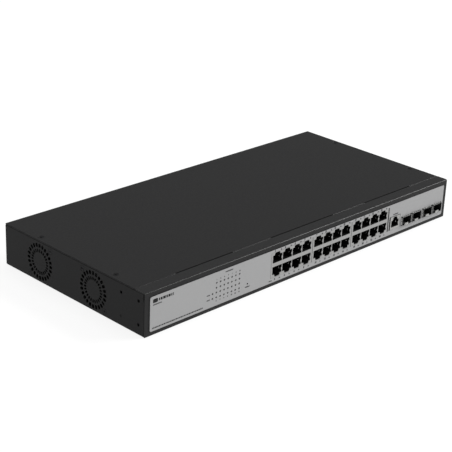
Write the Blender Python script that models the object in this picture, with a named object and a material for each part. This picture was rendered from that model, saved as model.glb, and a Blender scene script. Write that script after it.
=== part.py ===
"""A 1U rackmount network switch: 24 copper ports, 4 fibre cages, a console jack and two side fans.

The origin is under the middle of the sheet-metal body, on the surface it rests on. X runs across
the width, -Y is the front with the ports, +Z is up. Sizes below are in millimetres, and the mesh
helpers turn them into Blender's metres.
"""
import math

import bmesh
import bpy
from mathutils import Matrix, Vector

MM = 0.001
GAP = 0.3                     # air between pieces that touch on the real object

# Sheet-metal body
HALF_WIDTH = 220.0
HALF_DEPTH = 103.0
HEIGHT = 43.6
BASE_SHEET = 1.0
COVER_SHEET = 1.2
PANEL_SHEET = 1.4
COVER_LOW = HEIGHT - COVER_SHEET
BASE_TOP = COVER_LOW - GAP
M3_CLEARANCE = 1.8            # radius of a hole that an M3 screw passes through
FLANGE_SHEET = 0.9
FLANGE_WIDTH = 13.0
LIP_DEPTH = 13.4              # how far the front panel's top lip reaches back
BOTTOM_LIP_DEPTH = 8.0
CORNER_NOTCH = (0.8, 35.0)    # depth, and lowest z, of the corner relief beside the front panel
END_TAB = (2.0, 4.0, 38.0)    # reach along y and z range of the tabs at the front panel's ends

# Front overlay, a thin silver sheet on the dark front panel
OVERLAY_SHEET = 0.3
OVERLAY_HALF_WIDTH = 215.0
OVERLAY_Z = (4.1, 38.5)
OVERLAY_CORNER = 1.8
OVERLAY_FRONT = -HALF_DEPTH
PANEL_FRONT = OVERLAY_FRONT + OVERLAY_SHEET + GAP
PANEL_BACK = PANEL_FRONT + PANEL_SHEET
WALL_FRONT = PANEL_BACK + GAP
LIP_BACK = PANEL_FRONT + LIP_DEPTH
COVER_FRONT = LIP_BACK + GAP

# Cover tabs that slide under the lip: the X range of each
COVER_TABS = ((-171.0, -98.0), (-46.0, 46.0), (96.0, 171.0))
TAB_REACH = 8.0
TAB_VALLEY = 1.0              # open joggle between the lip and the cover at a tab

# Copper ports: three shielded modules of two rows by four columns
MODULE_PITCH = 59.5
MODULE_CENTRES = (-29.6, -29.6 + MODULE_PITCH, -29.6 + 2 * MODULE_PITCH)
MODULE_HALF_WIDTH = 29.45
MODULE_Z = (9.3, 35.8)
MODULE_DEPTH = 21.4
MODULE_WINDOW_GAPS = (0.4, 1.0)         # air left and right of the three modules
SHIELD_SHEET = 0.25
PORT_PITCH = 13.97
PORT_COLUMNS = (-1.5, -0.5, 0.5, 1.5)
PORT_HALF_WIDTH = 6.2
PORT_DEPTH = 14.5
UPPER_PORT_Z = (25.0, 32.4)
LOWER_PORT_Z = (12.6, 20.1)
LATCH_REACH = 2.6             # how far the latch notch goes beyond the main opening
LATCH_BASE_HALF = 3.9
LATCH_TIP_HALF = 3.0

# Console jack
CONSOLE_X = 131.4
CONSOLE_HALF_WIDTH = 8.3
CONSOLE_Z = (9.3, 23.9)
CONSOLE_PORT_Z = (12.3, 19.3)
CONSOLE_PORT_X = CONSOLE_X + 0.25
CONSOLE_PORT_HALF = 5.85
CONSOLE_LATCH_REACH = 3.7
CONSOLE_LATCH_BASE_HALF = 4.2
CONSOLE_LATCH_TIP_HALF = 1.6
CONSOLE_DEPTH = 18.0
CONSOLE_WINDOW_GAPS = (0.9, 0.3)        # air left and right of the console jack

# Fibre module cages
CAGE_CENTRES = (150.3, 167.5, 186.7, 203.9)
CAGE_PAIRS = ((150.3, 167.5), (186.7, 203.9))
CAGE_HALF_WIDTH = 7.5
CAGE_Z = (10.6, 20.5)
CAGE_SHEET = 0.6
CAGE_NOSE = 3.0               # how far a cage stands out of the overlay
CAGE_BACK = -58.0
CAGE_WINDOW_GAP = 0.5
CAGE_CONNECTOR = (5.6, 11.0, 6.0)      # half width, depth, and height above the cage's floor

# Indicator lights and reset
LED_COLUMN_X = tuple(-132.5 + 5.0 * column for column in range(7))
LED_ROW_Z = (27.6, 22.6, 17.6, 12.6)
EXTRA_LED_X = -137.5
EXTRA_LED_ROWS = (17.6, 12.6)
LED_HOLE_RADIUS = 1.0
LED_PIN_RADIUS = 0.75
LIGHT_BAR_MARGIN = 2.5
LIGHT_BAR_SHEET = 3.0
RESET_X = -91.3
RESET_Z = 13.9
RESET_HOLE_RADIUS = 0.9
RESET_TRAVEL = 0.3
PLUNGER_RADIUS = 1.75
PLUNGER_LENGTH = 3.8
RESET_BODY = (6.0, 4.5)       # width and depth of the push switch
RESET_BORE_DEPTH = 2.6

# Fans on the left wall
FAN_Y = (48.9, -30.6)
FAN_Z = 21.1
FAN_HALF = 19.8
FAN_DEPTH = 20.0
FAN_BORE = 18.8
FAN_SCREW_OFFSET = 16.0
FAN_FRAME_X = -HALF_WIDTH + BASE_SHEET + GAP
FAN_BACK_X = FAN_FRAME_X + FAN_DEPTH
SPIDER_SHEET = 1.5
SPIDER_RADIUS = 9.0
STRUT_HALF_WIDTH = 0.9
ROTOR_FRONT_X = FAN_FRAME_X + 1.5
ROTOR_BACK_X = FAN_FRAME_X + 16.0
HUB_RADIUS = 8.3
HUB_WALL = 1.2
HUB_FACE = 1.6
HUB_CHAMFER = 0.5
SHAFT_RADIUS = 1.0
SHAFT_CLEARANCE = 0.4
BLADE_TIP = 17.6
BLADE_COUNT = 7
BLADE_SHEET = 1.0
BLADE_CHORD = 12.5
BLADE_PITCH = math.radians(52)
BLADE_ROOT = 0.6              # how far a blade's root is sunk in the hub
STATOR_RADIUS = 6.1
GRILLE_SLOTS = 24
GRILLE_RINGS = ((14.6, 19.1, 3.1), (9.6, 13.2, 2.0))      # inner radius, outer radius, slot width

# Rack-ear screw holes near the front of both side walls, as (y, z), and a pressed locating dimple
EAR_HOLES = ((-93.5, 33.4), (-69.9, 33.4), (-93.5, 9.9))
EAR_HOLE_RADIUS = 1.6
EAR_DIMPLE = (-69.9, 9.9)
EAR_DIMPLE_DEPTH = 0.35

# Air outlet on the right wall
OUTLET_SLOTS = 26
OUTLET_PITCH = 6.0
OUTLET_FIRST_Y = -66.0
OUTLET_SLOT = (2.6, 18.0)

# Mains inlet and ground screw on the rear wall
INLET_X = -165.0
INLET_Z = 21.8
INLET_BODY = (13.7, 9.9)
INLET_CAVITY = (12.2, 8.4)
INLET_CAVITY_DEPTH = 16.5
INLET_FLANGE = (25.0, 11.2)
INLET_FLANGE_END_HALF = 4.0   # half height of the flange at its narrow ends
INLET_FLANGE_REAR = HALF_DEPTH + 3.0
INLET_FRONT = HALF_DEPTH - 18.0
INLET_KEY = 4.0               # size of the two cut corners of the socket
INLET_SCREW_OFFSET = 20.0
GROUND_X = -118.0
GROUND_Z = 12.0

# Cover screws
COVER_SCREWS = tuple((x, y) for x in (-214.0, 214.0) for y in (54.0, -55.0))

# Circuit boards
BOARD_TOP = 9.0
BOARD_SHEET = 1.6
BOARD_SEAT = BOARD_TOP + GAP
MAIN_BOARD = ((-148.0, -99.5), (216.0, -6.0))
STANDOFFS = ((-140.0, -20.0), (-20.0, -14.0), (100.0, -14.0), (208.0, -14.0))
STANDOFF_RADIUS = 2.9
HEADER_HEIGHT = 7.0
MAIN_HEADER = ((-86.0, -18.0), (-70.0, -10.0))
SWITCH_CHIP = (60.0, -42.0)
SWITCH_CHIP_HALF = 15.5
SWITCH_CHIP_SHEET = 2.4
SWITCH_SINK_HALF = 20.0
SWITCH_SINK_HEIGHT = 15.0
PHY_CHIPS = ((-29.6, -66.0, 7.0), (23.9, -72.0, 5.5), (89.4, -66.0, 7.0))      # x, y, half width
PHY_CHIP_SHEET = 1.4

# Power supply: its board, and each large component as opposite corners and a height
POWER_BOARD = ((-192.0, 2.0), (-96.0, 80.0))
POWER_BOARD_TOP = 6.8
POWER_SEAT = POWER_BOARD_TOP + GAP
TRANSFORMER = ((-148.0, 10.0), (-122.0, 32.0), 22.0)
CHOKE = ((-184.0, 56.0), (-168.0, 72.0), 18.0)
POWER_SINK = ((-164.0, 38.0), (-130.0, 46.0), 24.0)
OUTPUT_HEADER = ((-114.0, 8.0), (-100.0, 16.0), HEADER_HEIGHT)
CAPACITOR_PLACE = (-118.0, 62.0)
CAPACITOR_RADIUS = 9.0
CAPACITOR_HEIGHT = 28.0

# Lead between the two headers
LEAD_RADIUS = 2.0
LEAD_LIFT = 0.8               # the lead's end faces lean, so they start this far above a header
LEAD_RISE = 16.0
LEAD_STEPS = 12


def clear_scene():
    """Remove whatever the open file holds."""
    for obj in list(bpy.data.objects):
        bpy.data.objects.remove(obj, do_unlink=True)


def new_collection(name):
    """Make a collection in the scene."""
    collection = bpy.data.collections.new(name)
    bpy.context.scene.collection.children.link(collection)
    return collection


def finish(name, colour, roughness, metallic):
    """Make a plain Principled material."""
    material = bpy.data.materials.new(name)
    material.use_nodes = True
    shader = material.node_tree.nodes["Principled BSDF"]
    shader.inputs["Base Color"].default_value = (*colour, 1.0)
    shader.inputs["Roughness"].default_value = roughness
    shader.inputs["Metallic"].default_value = metallic
    return material


# ---------------------------------------------------------------- mesh helpers, in millimetres

def add_box(bm, low, high):
    """Add a box between two opposite corners."""
    low = Vector(low) * MM
    high = Vector(high) * MM
    size = Matrix.Diagonal((high - low).to_4d())
    bmesh.ops.create_cube(bm, size=1.0, matrix=Matrix.Translation((low + high) / 2) @ size)


def add_rod(bm, start, axis, radius, length, sides, end_radius=None):
    """Add a cylinder, or a cone frustum, that begins at start and runs along axis."""
    direction = Vector(axis).normalized()
    turn = direction.to_track_quat("Z", "Y").to_matrix().to_4x4()
    middle = (Vector(start) + direction * length / 2) * MM
    tip = radius if end_radius is None else end_radius
    bmesh.ops.create_cone(bm, cap_ends=True, segments=sides, radius1=radius * MM, radius2=tip * MM,
                          depth=length * MM, matrix=Matrix.Translation(middle) @ turn)


def add_prism(bm, outline, axis, low, high):
    """Extrude a flat outline along X, Y or Z. The outline's points are in the other two axes."""
    place = {"X": lambda a, b: (low, a, b), "Y": lambda a, b: (a, low, b), "Z": lambda a, b: (a, b, low)}
    step = {"X": (1, 0, 0), "Y": (0, 1, 0), "Z": (0, 0, 1)}
    corners = [bm.verts.new(Vector(place[axis](a, b)) * MM) for a, b in outline]
    face = bm.faces.new(corners)
    grown = bmesh.ops.extrude_face_region(bm, geom=[face])
    moved = [item for item in grown["geom"] if isinstance(item, bmesh.types.BMVert)]
    bmesh.ops.translate(bm, verts=moved, vec=Vector(step[axis]) * (high - low) * MM)


def add_turned(bm, profile, centre, axis, sides):
    """Spin a profile of (radius, distance along axis) points, whose two ends lie on the axis."""
    turn = Vector(axis).to_track_quat("Z", "Y").to_matrix()
    points = [Vector(centre) + turn @ Vector((radius, 0, along)) for radius, along in profile]
    verts = [bm.verts.new(point * MM) for point in points]
    edges = [bm.edges.new(pair) for pair in zip(verts, verts[1:])]
    bmesh.ops.spin(bm, geom=verts + edges, cent=Vector(centre) * MM, axis=turn @ Vector((0, 0, 1)),
                   angle=math.tau, steps=sides, use_duplicate=False)
    bmesh.ops.remove_doubles(bm, verts=bm.verts, dist=0.01 * MM)


def rounded_rectangle(low, high, radius, steps=4):
    """Outline of a rectangle with round corners."""
    corners = (((high[0] - radius), (high[1] - radius), 0), ((low[0] + radius), (high[1] - radius), 1),
               ((low[0] + radius), (low[1] + radius), 2), ((high[0] - radius), (low[1] + radius), 3))
    outline = []
    for across, up, quarter in corners:
        for step in range(steps + 1):
            angle = math.pi / 2 * (quarter + step / steps)
            outline.append((across + radius * math.cos(angle), up + radius * math.sin(angle)))
    return outline


def cross_outline(centre, arm, half_width):
    """Outline of a plus-shaped recess."""
    quarter = ((arm, half_width), (half_width, half_width), (half_width, arm))
    outline = []
    for turn in range(4):
        angle = math.pi / 2 * turn
        cosine = round(math.cos(angle))
        sine = round(math.sin(angle))
        for across, up in quarter:
            outline.append((centre[0] + cosine * across - sine * up, centre[1] + sine * across + cosine * up))
    return outline


def add_cross(bm, place, axis, arm, half_width, depth):
    """Add a plus-shaped cutter that is centred on place and reaches depth each way along axis."""
    before = len(bm.verts)
    add_prism(bm, cross_outline((0, 0), arm, half_width), "Z", -depth, depth)
    bm.verts.ensure_lookup_table()
    turn = Vector(axis).to_track_quat("Z", "Y").to_matrix().to_4x4()
    bmesh.ops.transform(bm, matrix=Matrix.Translation(Vector(place) * MM) @ turn, verts=bm.verts[before:])


def port_outline(x, z_range, half_width, reach, base_half, tip_half, latch_up):
    """Outline of a modular jack's mouth: a rectangle with a latch notch above or below it."""
    far = z_range[1] if latch_up else z_range[0]
    near = z_range[0] if latch_up else z_range[1]
    tip = far + reach if latch_up else far - reach
    return ((x - half_width, near), (x + half_width, near), (x + half_width, far), (x + base_half, far),
            (x + tip_half, tip), (x - tip_half, tip), (x - base_half, far), (x - half_width, far))


def make(name, bm, material, collection, origin=(0, 0, 0), smooth=False):
    """Turn a bmesh into a named object whose own origin is at the given place."""
    bmesh.ops.recalc_face_normals(bm, faces=bm.faces)
    mesh = bpy.data.meshes.new(name)
    bm.to_mesh(mesh)
    bm.free()
    mesh.transform(Matrix.Translation(-Vector(origin) * MM))
    obj = bpy.data.objects.new(name, mesh)
    obj.location = Vector(origin) * MM
    collection.objects.link(obj)
    if material:
        mesh.materials.append(material)
    if smooth:
        mesh.shade_smooth()
        mesh.set_sharp_from_angle(angle=math.radians(35))
    return obj


def boolean(target, bm, operation):
    """Cut a bmesh from an object, or join it on, with an exact Boolean."""
    tool = make(f"{target.name}_{operation.lower()}_{len(target.modifiers)}", bm, None, CUTTERS)
    tool.hide_render = True
    tool.display_type = "WIRE"
    modifier = target.modifiers.new(tool.name, "BOOLEAN")
    modifier.operation = operation
    modifier.solver = "EXACT"
    modifier.object = tool


def cut(target, bm):
    boolean(target, bm, "DIFFERENCE")


def join(target, bm):
    boolean(target, bm, "UNION")


def part(name, bm, material, origin=(0, 0, 0), smooth=False):
    """Make one sub-part of the switch and hang it on the switch's empty."""
    obj = make(name, bm, material, PARTS, origin, smooth)
    obj.parent = SWITCH
    return obj


def box_part(name, low, high, material):
    """Make a sub-part that is a plain block."""
    bm = bmesh.new()
    add_box(bm, low, high)
    middle = (Vector(low) + Vector(high)) / 2
    return part(name, bm, material, origin=middle)


# ---------------------------------------------------------------- sheet-metal body

def radial_slots(bm, y, z, inner, outer, width):
    """Add a ring of radial slot cutters with pointed ends, through the left wall."""
    half = width / 2
    outline = ((inner + half, -half), (outer - half, -half), (outer, 0),
               (outer - half, half), (inner + half, half), (inner, 0))
    for slot in range(GRILLE_SLOTS):
        angle = math.tau * slot / GRILLE_SLOTS
        cosine = math.cos(angle)
        sine = math.sin(angle)
        turned = [(y + cosine * a - sine * b, z + sine * a + cosine * b) for a, b in outline]
        add_prism(bm, turned, "X", -HALF_WIDTH - 1, -HALF_WIDTH + BASE_SHEET + 1)


def fan_screw_places():
    """The two screws of each fan, on opposite corners, as (y, z). The fans mirror each other."""
    places = []
    for fan_y, side in zip(FAN_Y, (-1, 1)):
        places.append((fan_y + side * FAN_SCREW_OFFSET, FAN_Z + FAN_SCREW_OFFSET))
        places.append((fan_y - side * FAN_SCREW_OFFSET, FAN_Z - FAN_SCREW_OFFSET))
    return places


def build_chassis_base():
    """Bottom, side walls and rear wall, folded from one sheet, with inward flanges on top."""
    bm = bmesh.new()
    add_box(bm, (-HALF_WIDTH, WALL_FRONT, 0), (HALF_WIDTH, HALF_DEPTH, BASE_TOP))
    base = part("chassis_base", bm, COATED_STEEL)
    inner = HALF_WIDTH - BASE_SHEET
    rear_inner = HALF_DEPTH - BASE_SHEET

    hollow = bmesh.new()
    add_box(hollow, (-inner, WALL_FRONT - 5, BASE_SHEET), (inner, rear_inner, BASE_TOP - FLANGE_SHEET))
    cut(base, hollow)

    mouth = bmesh.new()
    mouth_half = inner - FLANGE_WIDTH
    add_box(mouth, (-mouth_half, WALL_FRONT - 5, BASE_TOP - 5), (mouth_half, rear_inner, BASE_TOP + 5))
    cut(base, mouth)

    openings = bmesh.new()
    lip_room = PANEL_BACK + BOTTOM_LIP_DEPTH + GAP
    notch_depth, notch_low = CORNER_NOTCH
    add_box(openings, (-inner, WALL_FRONT - 5, -2), (inner, lip_room, BASE_SHEET + 2))
    for side in (-1, 1):
        ends = sorted((side * (HALF_WIDTH + 1), side * (inner - 0.2)))
        add_box(openings, (ends[0], WALL_FRONT - 5, notch_low),
                (ends[1], WALL_FRONT + notch_depth, BASE_TOP + 5))
    for x, y in COVER_SCREWS:
        add_rod(openings, (x, y, BASE_TOP - 3), (0, 0, 1), M3_CLEARANCE, 5, 12)
    for y, z in EAR_HOLES:
        add_rod(openings, (-HALF_WIDTH - 1, y, z), (1, 0, 0), EAR_HOLE_RADIUS, 3, 12)
        add_rod(openings, (HALF_WIDTH + 1, y, z), (-1, 0, 0), EAR_HOLE_RADIUS, 3, 12)
    for side in (-1, 1):
        place = (side * (HALF_WIDTH + 1), *EAR_DIMPLE)
        add_rod(openings, place, (-side, 0, 0), EAR_HOLE_RADIUS, 1 + EAR_DIMPLE_DEPTH, 12)
    for y, z in fan_screw_places():
        add_rod(openings, (-HALF_WIDTH - 0.1, y, z), (1, 0, 0), 3.0, BASE_SHEET + 0.2, 12,
                end_radius=M3_CLEARANCE)
    cut(base, openings)

    grilles = bmesh.new()
    for fan_y in FAN_Y:
        for inner_radius, outer_radius, width in GRILLE_RINGS:
            radial_slots(grilles, fan_y, FAN_Z, inner_radius, outer_radius, width)
    for slot in range(OUTLET_SLOTS):
        y = OUTLET_FIRST_Y + OUTLET_PITCH * slot
        half_width = OUTLET_SLOT[0] / 2
        half_height = OUTLET_SLOT[1] / 2
        add_box(grilles, (HALF_WIDTH - 3, y - half_width, FAN_Z - half_height),
                (HALF_WIDTH + 2, y + half_width, FAN_Z + half_height))
    cut(base, grilles)

    rear = bmesh.new()
    across, up = INLET_BODY
    add_box(rear, (INLET_X - across - GAP, HALF_DEPTH - 3, INLET_Z - up - GAP),
            (INLET_X + across + GAP, HALF_DEPTH + 2, INLET_Z + up + GAP))
    for side in (-1, 1):
        place = (INLET_X + side * INLET_SCREW_OFFSET, HALF_DEPTH - 3, INLET_Z)
        add_rod(rear, place, (0, 1, 0), M3_CLEARANCE, 5, 12)
    add_rod(rear, (GROUND_X, HALF_DEPTH - 3, GROUND_Z), (0, 1, 0), 2.3, 5, 12)
    cut(base, rear)


def build_top_cover():
    """Flat lid with three joggled tabs that slide under the front panel's lip."""
    bm = bmesh.new()
    add_box(bm, (-HALF_WIDTH, COVER_FRONT, COVER_LOW), (HALF_WIDTH, HALF_DEPTH, HEIGHT))
    cover = part("top_cover", bm, COATED_STEEL)
    valley_back = COVER_FRONT + TAB_VALLEY
    riser_back = valley_back + 1.5
    tab_low = COVER_LOW - GAP - COVER_SHEET
    tab_top = COVER_LOW - GAP
    riser_top = HEIGHT - 0.4

    cuts = bmesh.new()
    for left, right in COVER_TABS:
        add_box(cuts, (left, COVER_FRONT - 1, COVER_LOW - 1), (right, valley_back, HEIGHT + 1))
    for x, y in COVER_SCREWS:
        add_rod(cuts, (x, y, COVER_LOW - 0.1), (0, 0, 1), M3_CLEARANCE, COVER_SHEET + 0.2, 12, end_radius=3.2)
    cut(cover, cuts)

    tabs = bmesh.new()
    profile = ((LIP_BACK - TAB_REACH, tab_low), (riser_back, tab_low), (riser_back, riser_top),
               (valley_back - 0.2, riser_top), (valley_back - 0.2, tab_top), (LIP_BACK - TAB_REACH, tab_top))
    for left, right in COVER_TABS:
        add_prism(tabs, profile, "X", left + 0.5, right - 0.5)
    join(cover, tabs)


def led_places():
    """Centre of every indicator light, as (x, z)."""
    places = [(x, z) for x in LED_COLUMN_X for z in LED_ROW_Z]
    places += [(EXTRA_LED_X, z) for z in EXTRA_LED_ROWS]
    return places


def add_front_windows(bm, low_y, high_y, grow):
    """Add the cutters of every window and hole in the front, a little larger by grow."""
    left_gap, right_gap = MODULE_WINDOW_GAPS
    add_box(bm, (MODULE_CENTRES[0] - MODULE_HALF_WIDTH - left_gap - grow, low_y, MODULE_Z[0] - GAP - grow),
            (MODULE_CENTRES[-1] + MODULE_HALF_WIDTH + right_gap + grow, high_y, MODULE_Z[1] + GAP + grow))
    left_gap, right_gap = CONSOLE_WINDOW_GAPS
    add_box(bm, (CONSOLE_X - CONSOLE_HALF_WIDTH - left_gap - grow, low_y, CONSOLE_Z[0] - GAP - grow),
            (CONSOLE_X + CONSOLE_HALF_WIDTH + right_gap + grow, high_y, CONSOLE_Z[1] + GAP + grow))
    for first, last in CAGE_PAIRS:
        reach = CAGE_HALF_WIDTH + CAGE_WINDOW_GAP + grow
        add_box(bm, (first - reach, low_y, CAGE_Z[0] - GAP - grow),
                (last + reach, high_y, CAGE_Z[1] + GAP + grow))
    for x, z in led_places():
        add_rod(bm, (x, low_y, z), (0, 1, 0), LED_HOLE_RADIUS, high_y - low_y, 8)
    add_rod(bm, (RESET_X, low_y, RESET_Z), (0, 1, 0), RESET_HOLE_RADIUS, high_y - low_y, 10)


def build_front_panel():
    """Full-width front sheet with a lip over the cover's edge, a bottom lip and two end tabs."""
    bm = bmesh.new()
    add_box(bm, (-HALF_WIDTH, PANEL_FRONT, 0), (HALF_WIDTH, PANEL_BACK, HEIGHT))
    panel = part("front_panel", bm, COATED_STEEL)

    folds = bmesh.new()
    overlap = PANEL_BACK - PANEL_SHEET / 2
    inner = HALF_WIDTH - BASE_SHEET - GAP
    tab_reach, tab_low, tab_high = END_TAB
    add_box(folds, (-HALF_WIDTH, overlap, COVER_LOW), (HALF_WIDTH, LIP_BACK, HEIGHT))
    add_box(folds, (-inner, overlap, 0), (inner, PANEL_BACK + BOTTOM_LIP_DEPTH, BASE_SHEET))
    for side in (-1, 1):
        ends = sorted((side * inner, side * (inner - COVER_SHEET)))
        add_box(folds, (ends[0], overlap, tab_low), (ends[1], PANEL_BACK + tab_reach, tab_high))
    join(panel, folds)

    windows = bmesh.new()
    add_front_windows(windows, PANEL_FRONT - 1, PANEL_BACK + 1, 0.1)
    cut(panel, windows)


def build_front_overlay():
    """Thin silver sheet on the front panel, with the same windows and holes."""
    bm = bmesh.new()
    outline = rounded_rectangle((-OVERLAY_HALF_WIDTH, OVERLAY_Z[0]), (OVERLAY_HALF_WIDTH, OVERLAY_Z[1]),
                                OVERLAY_CORNER)
    add_prism(bm, outline, "Y", OVERLAY_FRONT, OVERLAY_FRONT + OVERLAY_SHEET)
    overlay = part("front_overlay", bm, SILVER_FILM)
    windows = bmesh.new()
    add_front_windows(windows, OVERLAY_FRONT - 1, OVERLAY_FRONT + OVERLAY_SHEET + 0.2, 0.0)
    cut(overlay, windows)


def countersunk_screw(name, place, axis, length, head_radius):
    """Countersunk screw with a cross recess. place is the middle of its head's flat face."""
    bm = bmesh.new()
    shank = 1.45
    head = 1.1
    profile = ((0, 0), (head_radius, 0), (shank, head), (shank, length), (0, length))
    add_turned(bm, profile, place, axis, 12)
    screw = part(name, bm, BLACK_ZINC, origin=place)
    recess = bmesh.new()
    add_cross(recess, place, axis, 1.3, 0.3, 0.7)
    cut(screw, recess)


def build_screws():
    """Cover, fan and inlet screws, and the ground screw with its washer face."""
    for number, (x, y) in enumerate(COVER_SCREWS, start=1):
        countersunk_screw(f"cover_screw_{number}", (x, y, HEIGHT - 0.1), (0, 0, -1), 2.3, 2.75)
    for number, (y, z) in enumerate(fan_screw_places(), start=1):
        countersunk_screw(f"fan_screw_{number}", (-HALF_WIDTH + 0.05, y, z), (1, 0, 0), 6.0, 2.6)
    for number, side in enumerate((-1, 1), start=1):
        place = (INLET_X + side * INLET_SCREW_OFFSET, INLET_FLANGE_REAR - 0.1, INLET_Z)
        countersunk_screw(f"inlet_screw_{number}", place, (0, -1, 0), 8.0, 2.75)

    bm = bmesh.new()
    face = HALF_DEPTH + GAP
    profile = ((0, INLET_FLANGE_REAR), (2.4, INLET_FLANGE_REAR), (3.4, INLET_FLANGE_REAR - 0.8),
               (3.4, face + 0.6), (4.6, face + 0.6), (4.6, face), (1.9, face), (1.9, face - 8), (0, face - 8))
    add_turned(bm, profile, (GROUND_X, 0, GROUND_Z), (0, 1, 0), 16)
    ground = part("ground_screw", bm, NICKEL, origin=(GROUND_X, face, GROUND_Z), smooth=True)
    recess = bmesh.new()
    add_cross(recess, (GROUND_X, INLET_FLANGE_REAR, GROUND_Z), (0, 1, 0), 1.9, 0.4, 1.2)
    cut(ground, recess)


# ---------------------------------------------------------------- ports

def add_module_mouths(bm, centre, low_y, high_y):
    """Add the eight jack mouths of one module."""
    for column in PORT_COLUMNS:
        x = centre + column * PORT_PITCH
        for z_range, latch_up in ((UPPER_PORT_Z, True), (LOWER_PORT_Z, False)):
            outline = port_outline(x, z_range, PORT_HALF_WIDTH, LATCH_REACH, LATCH_BASE_HALF, LATCH_TIP_HALF,
                                   latch_up)
            add_prism(bm, outline, "Y", low_y, high_y)


def add_console_mouth(bm, low_y, high_y):
    """Add the console jack's mouth."""
    outline = port_outline(CONSOLE_PORT_X, CONSOLE_PORT_Z, CONSOLE_PORT_HALF, CONSOLE_LATCH_REACH,
                           CONSOLE_LATCH_BASE_HALF, CONSOLE_LATCH_TIP_HALF, True)
    add_prism(bm, outline, "Y", low_y, high_y)


def shielded_jack(prefix, suffix, centre, half_width, z_range, depth, mouths):
    """A moulded jack block inside a folded steel shield that is open underneath."""
    front = OVERLAY_FRONT
    back = front + depth
    clear = SHIELD_SHEET + 0.25
    cavity_back = front + PORT_DEPTH

    bm = bmesh.new()
    add_box(bm, (centre - half_width, front, z_range[0]), (centre + half_width, back, z_range[1]))
    shield = part(f"{prefix}_shield{suffix}", bm, TINNED_STEEL)
    hollow = bmesh.new()
    wall = half_width - SHIELD_SHEET
    add_box(hollow, (centre - wall, front + SHIELD_SHEET, z_range[0] - 2),
            (centre + wall, back - SHIELD_SHEET, z_range[1] - SHIELD_SHEET))
    cut(shield, hollow)
    holes = bmesh.new()
    mouths(holes, front - 1, front + 0.4)
    cut(shield, holes)

    bm = bmesh.new()
    add_box(bm, (centre - half_width + clear, front + clear, z_range[0] + clear),
            (centre + half_width - clear, back - clear, z_range[1] - clear))
    housing = part(f"{prefix}_housing{suffix}", bm, BLACK_NYLON)
    cavities = bmesh.new()
    mouths(cavities, front - 1, cavity_back)
    cut(housing, cavities)


def build_ports():
    """Three port modules and the console jack."""
    for number, centre in enumerate(MODULE_CENTRES, start=1):
        shielded_jack("rj45", f"_{number}", centre, MODULE_HALF_WIDTH, MODULE_Z, MODULE_DEPTH,
                      lambda bm, low, high, middle=centre: add_module_mouths(bm, middle, low, high))
    shielded_jack("console", "", CONSOLE_X, CONSOLE_HALF_WIDTH, CONSOLE_Z, CONSOLE_DEPTH, add_console_mouth)


def build_cages():
    """Four pressed-steel cages that stand out of the front, each with its edge connector inside."""
    nose = OVERLAY_FRONT - CAGE_NOSE
    connector_half, connector_depth, connector_height = CAGE_CONNECTOR
    connector_back = CAGE_BACK - 3
    connector_front = connector_back - connector_depth
    slot_half = connector_half + 0.6
    for number, x in enumerate(CAGE_CENTRES, start=1):
        bm = bmesh.new()
        add_box(bm, (x - CAGE_HALF_WIDTH, nose, CAGE_Z[0]), (x + CAGE_HALF_WIDTH, CAGE_BACK, CAGE_Z[1]))
        cage = part(f"sfp_cage_{number}", bm, TINNED_STEEL)
        hollow = bmesh.new()
        inner = CAGE_HALF_WIDTH - CAGE_SHEET
        add_box(hollow, (x - inner, nose - 1, CAGE_Z[0] + CAGE_SHEET),
                (x + inner, CAGE_BACK - CAGE_SHEET, CAGE_Z[1] - CAGE_SHEET))
        cut(cage, hollow)
        floor_slot = bmesh.new()
        add_box(floor_slot, (x - slot_half, connector_front - 1, CAGE_Z[0] - 1),
                (x + slot_half, connector_back + 1, CAGE_Z[0] + 1))
        cut(cage, floor_slot)

        bm = bmesh.new()
        add_box(bm, (x - connector_half, connector_front, BOARD_SEAT),
                (x + connector_half, connector_back, CAGE_Z[0] + connector_height))
        connector = part(f"sfp_connector_{number}", bm, BLACK_NYLON)
        groove = bmesh.new()
        groove_z = CAGE_Z[0] + 3.9
        add_box(groove, (x - 4.8, connector_front - 1, groove_z - 0.7),
                (x + 4.8, connector_front + 5, groove_z + 0.7))
        cut(connector, groove)


# ---------------------------------------------------------------- lights and reset

def build_light_pipe():
    """One clear moulding: a bar with a light pin for every indicator."""
    front = PANEL_BACK + 4
    bm = bmesh.new()
    low = (EXTRA_LED_X - LIGHT_BAR_MARGIN, front, LED_ROW_Z[-1] - LIGHT_BAR_MARGIN)
    high = (LED_COLUMN_X[-1] + LIGHT_BAR_MARGIN, front + LIGHT_BAR_SHEET, LED_ROW_Z[0] + LIGHT_BAR_MARGIN)
    add_box(bm, low, high)
    pipe = part("led_light_pipe", bm, CLEAR_ACRYLIC)
    pins = bmesh.new()
    for x, z in led_places():
        add_rod(pins, (x, OVERLAY_FRONT + 0.1, z), (0, 1, 0), LED_PIN_RADIUS, front - OVERLAY_FRONT + 0.9, 8)
    join(pipe, pins)


def build_reset():
    """Push switch behind the reset pinhole. The plunger slides into the switch."""
    front = PANEL_BACK + 3.5
    width, depth = RESET_BODY
    bm = bmesh.new()
    add_box(bm, (RESET_X - width / 2, front, BOARD_SEAT),
            (RESET_X + width / 2, front + depth, RESET_Z + width / 2))
    switch = part("reset_switch", bm, BLACK_NYLON)
    bore = bmesh.new()
    add_rod(bore, (RESET_X, front - 1, RESET_Z), (0, 1, 0), PLUNGER_RADIUS + GAP, RESET_BORE_DEPTH + 1, 16)
    cut(switch, bore)

    bm = bmesh.new()
    start = front + RESET_BORE_DEPTH - GAP - RESET_TRAVEL - PLUNGER_LENGTH
    add_rod(bm, (RESET_X, start, RESET_Z), (0, 1, 0), PLUNGER_RADIUS, PLUNGER_LENGTH, 16)
    part("reset_button", bm, WHITE_NYLON, origin=(RESET_X, start, RESET_Z), smooth=True)


# ---------------------------------------------------------------- boards and power supply

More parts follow.
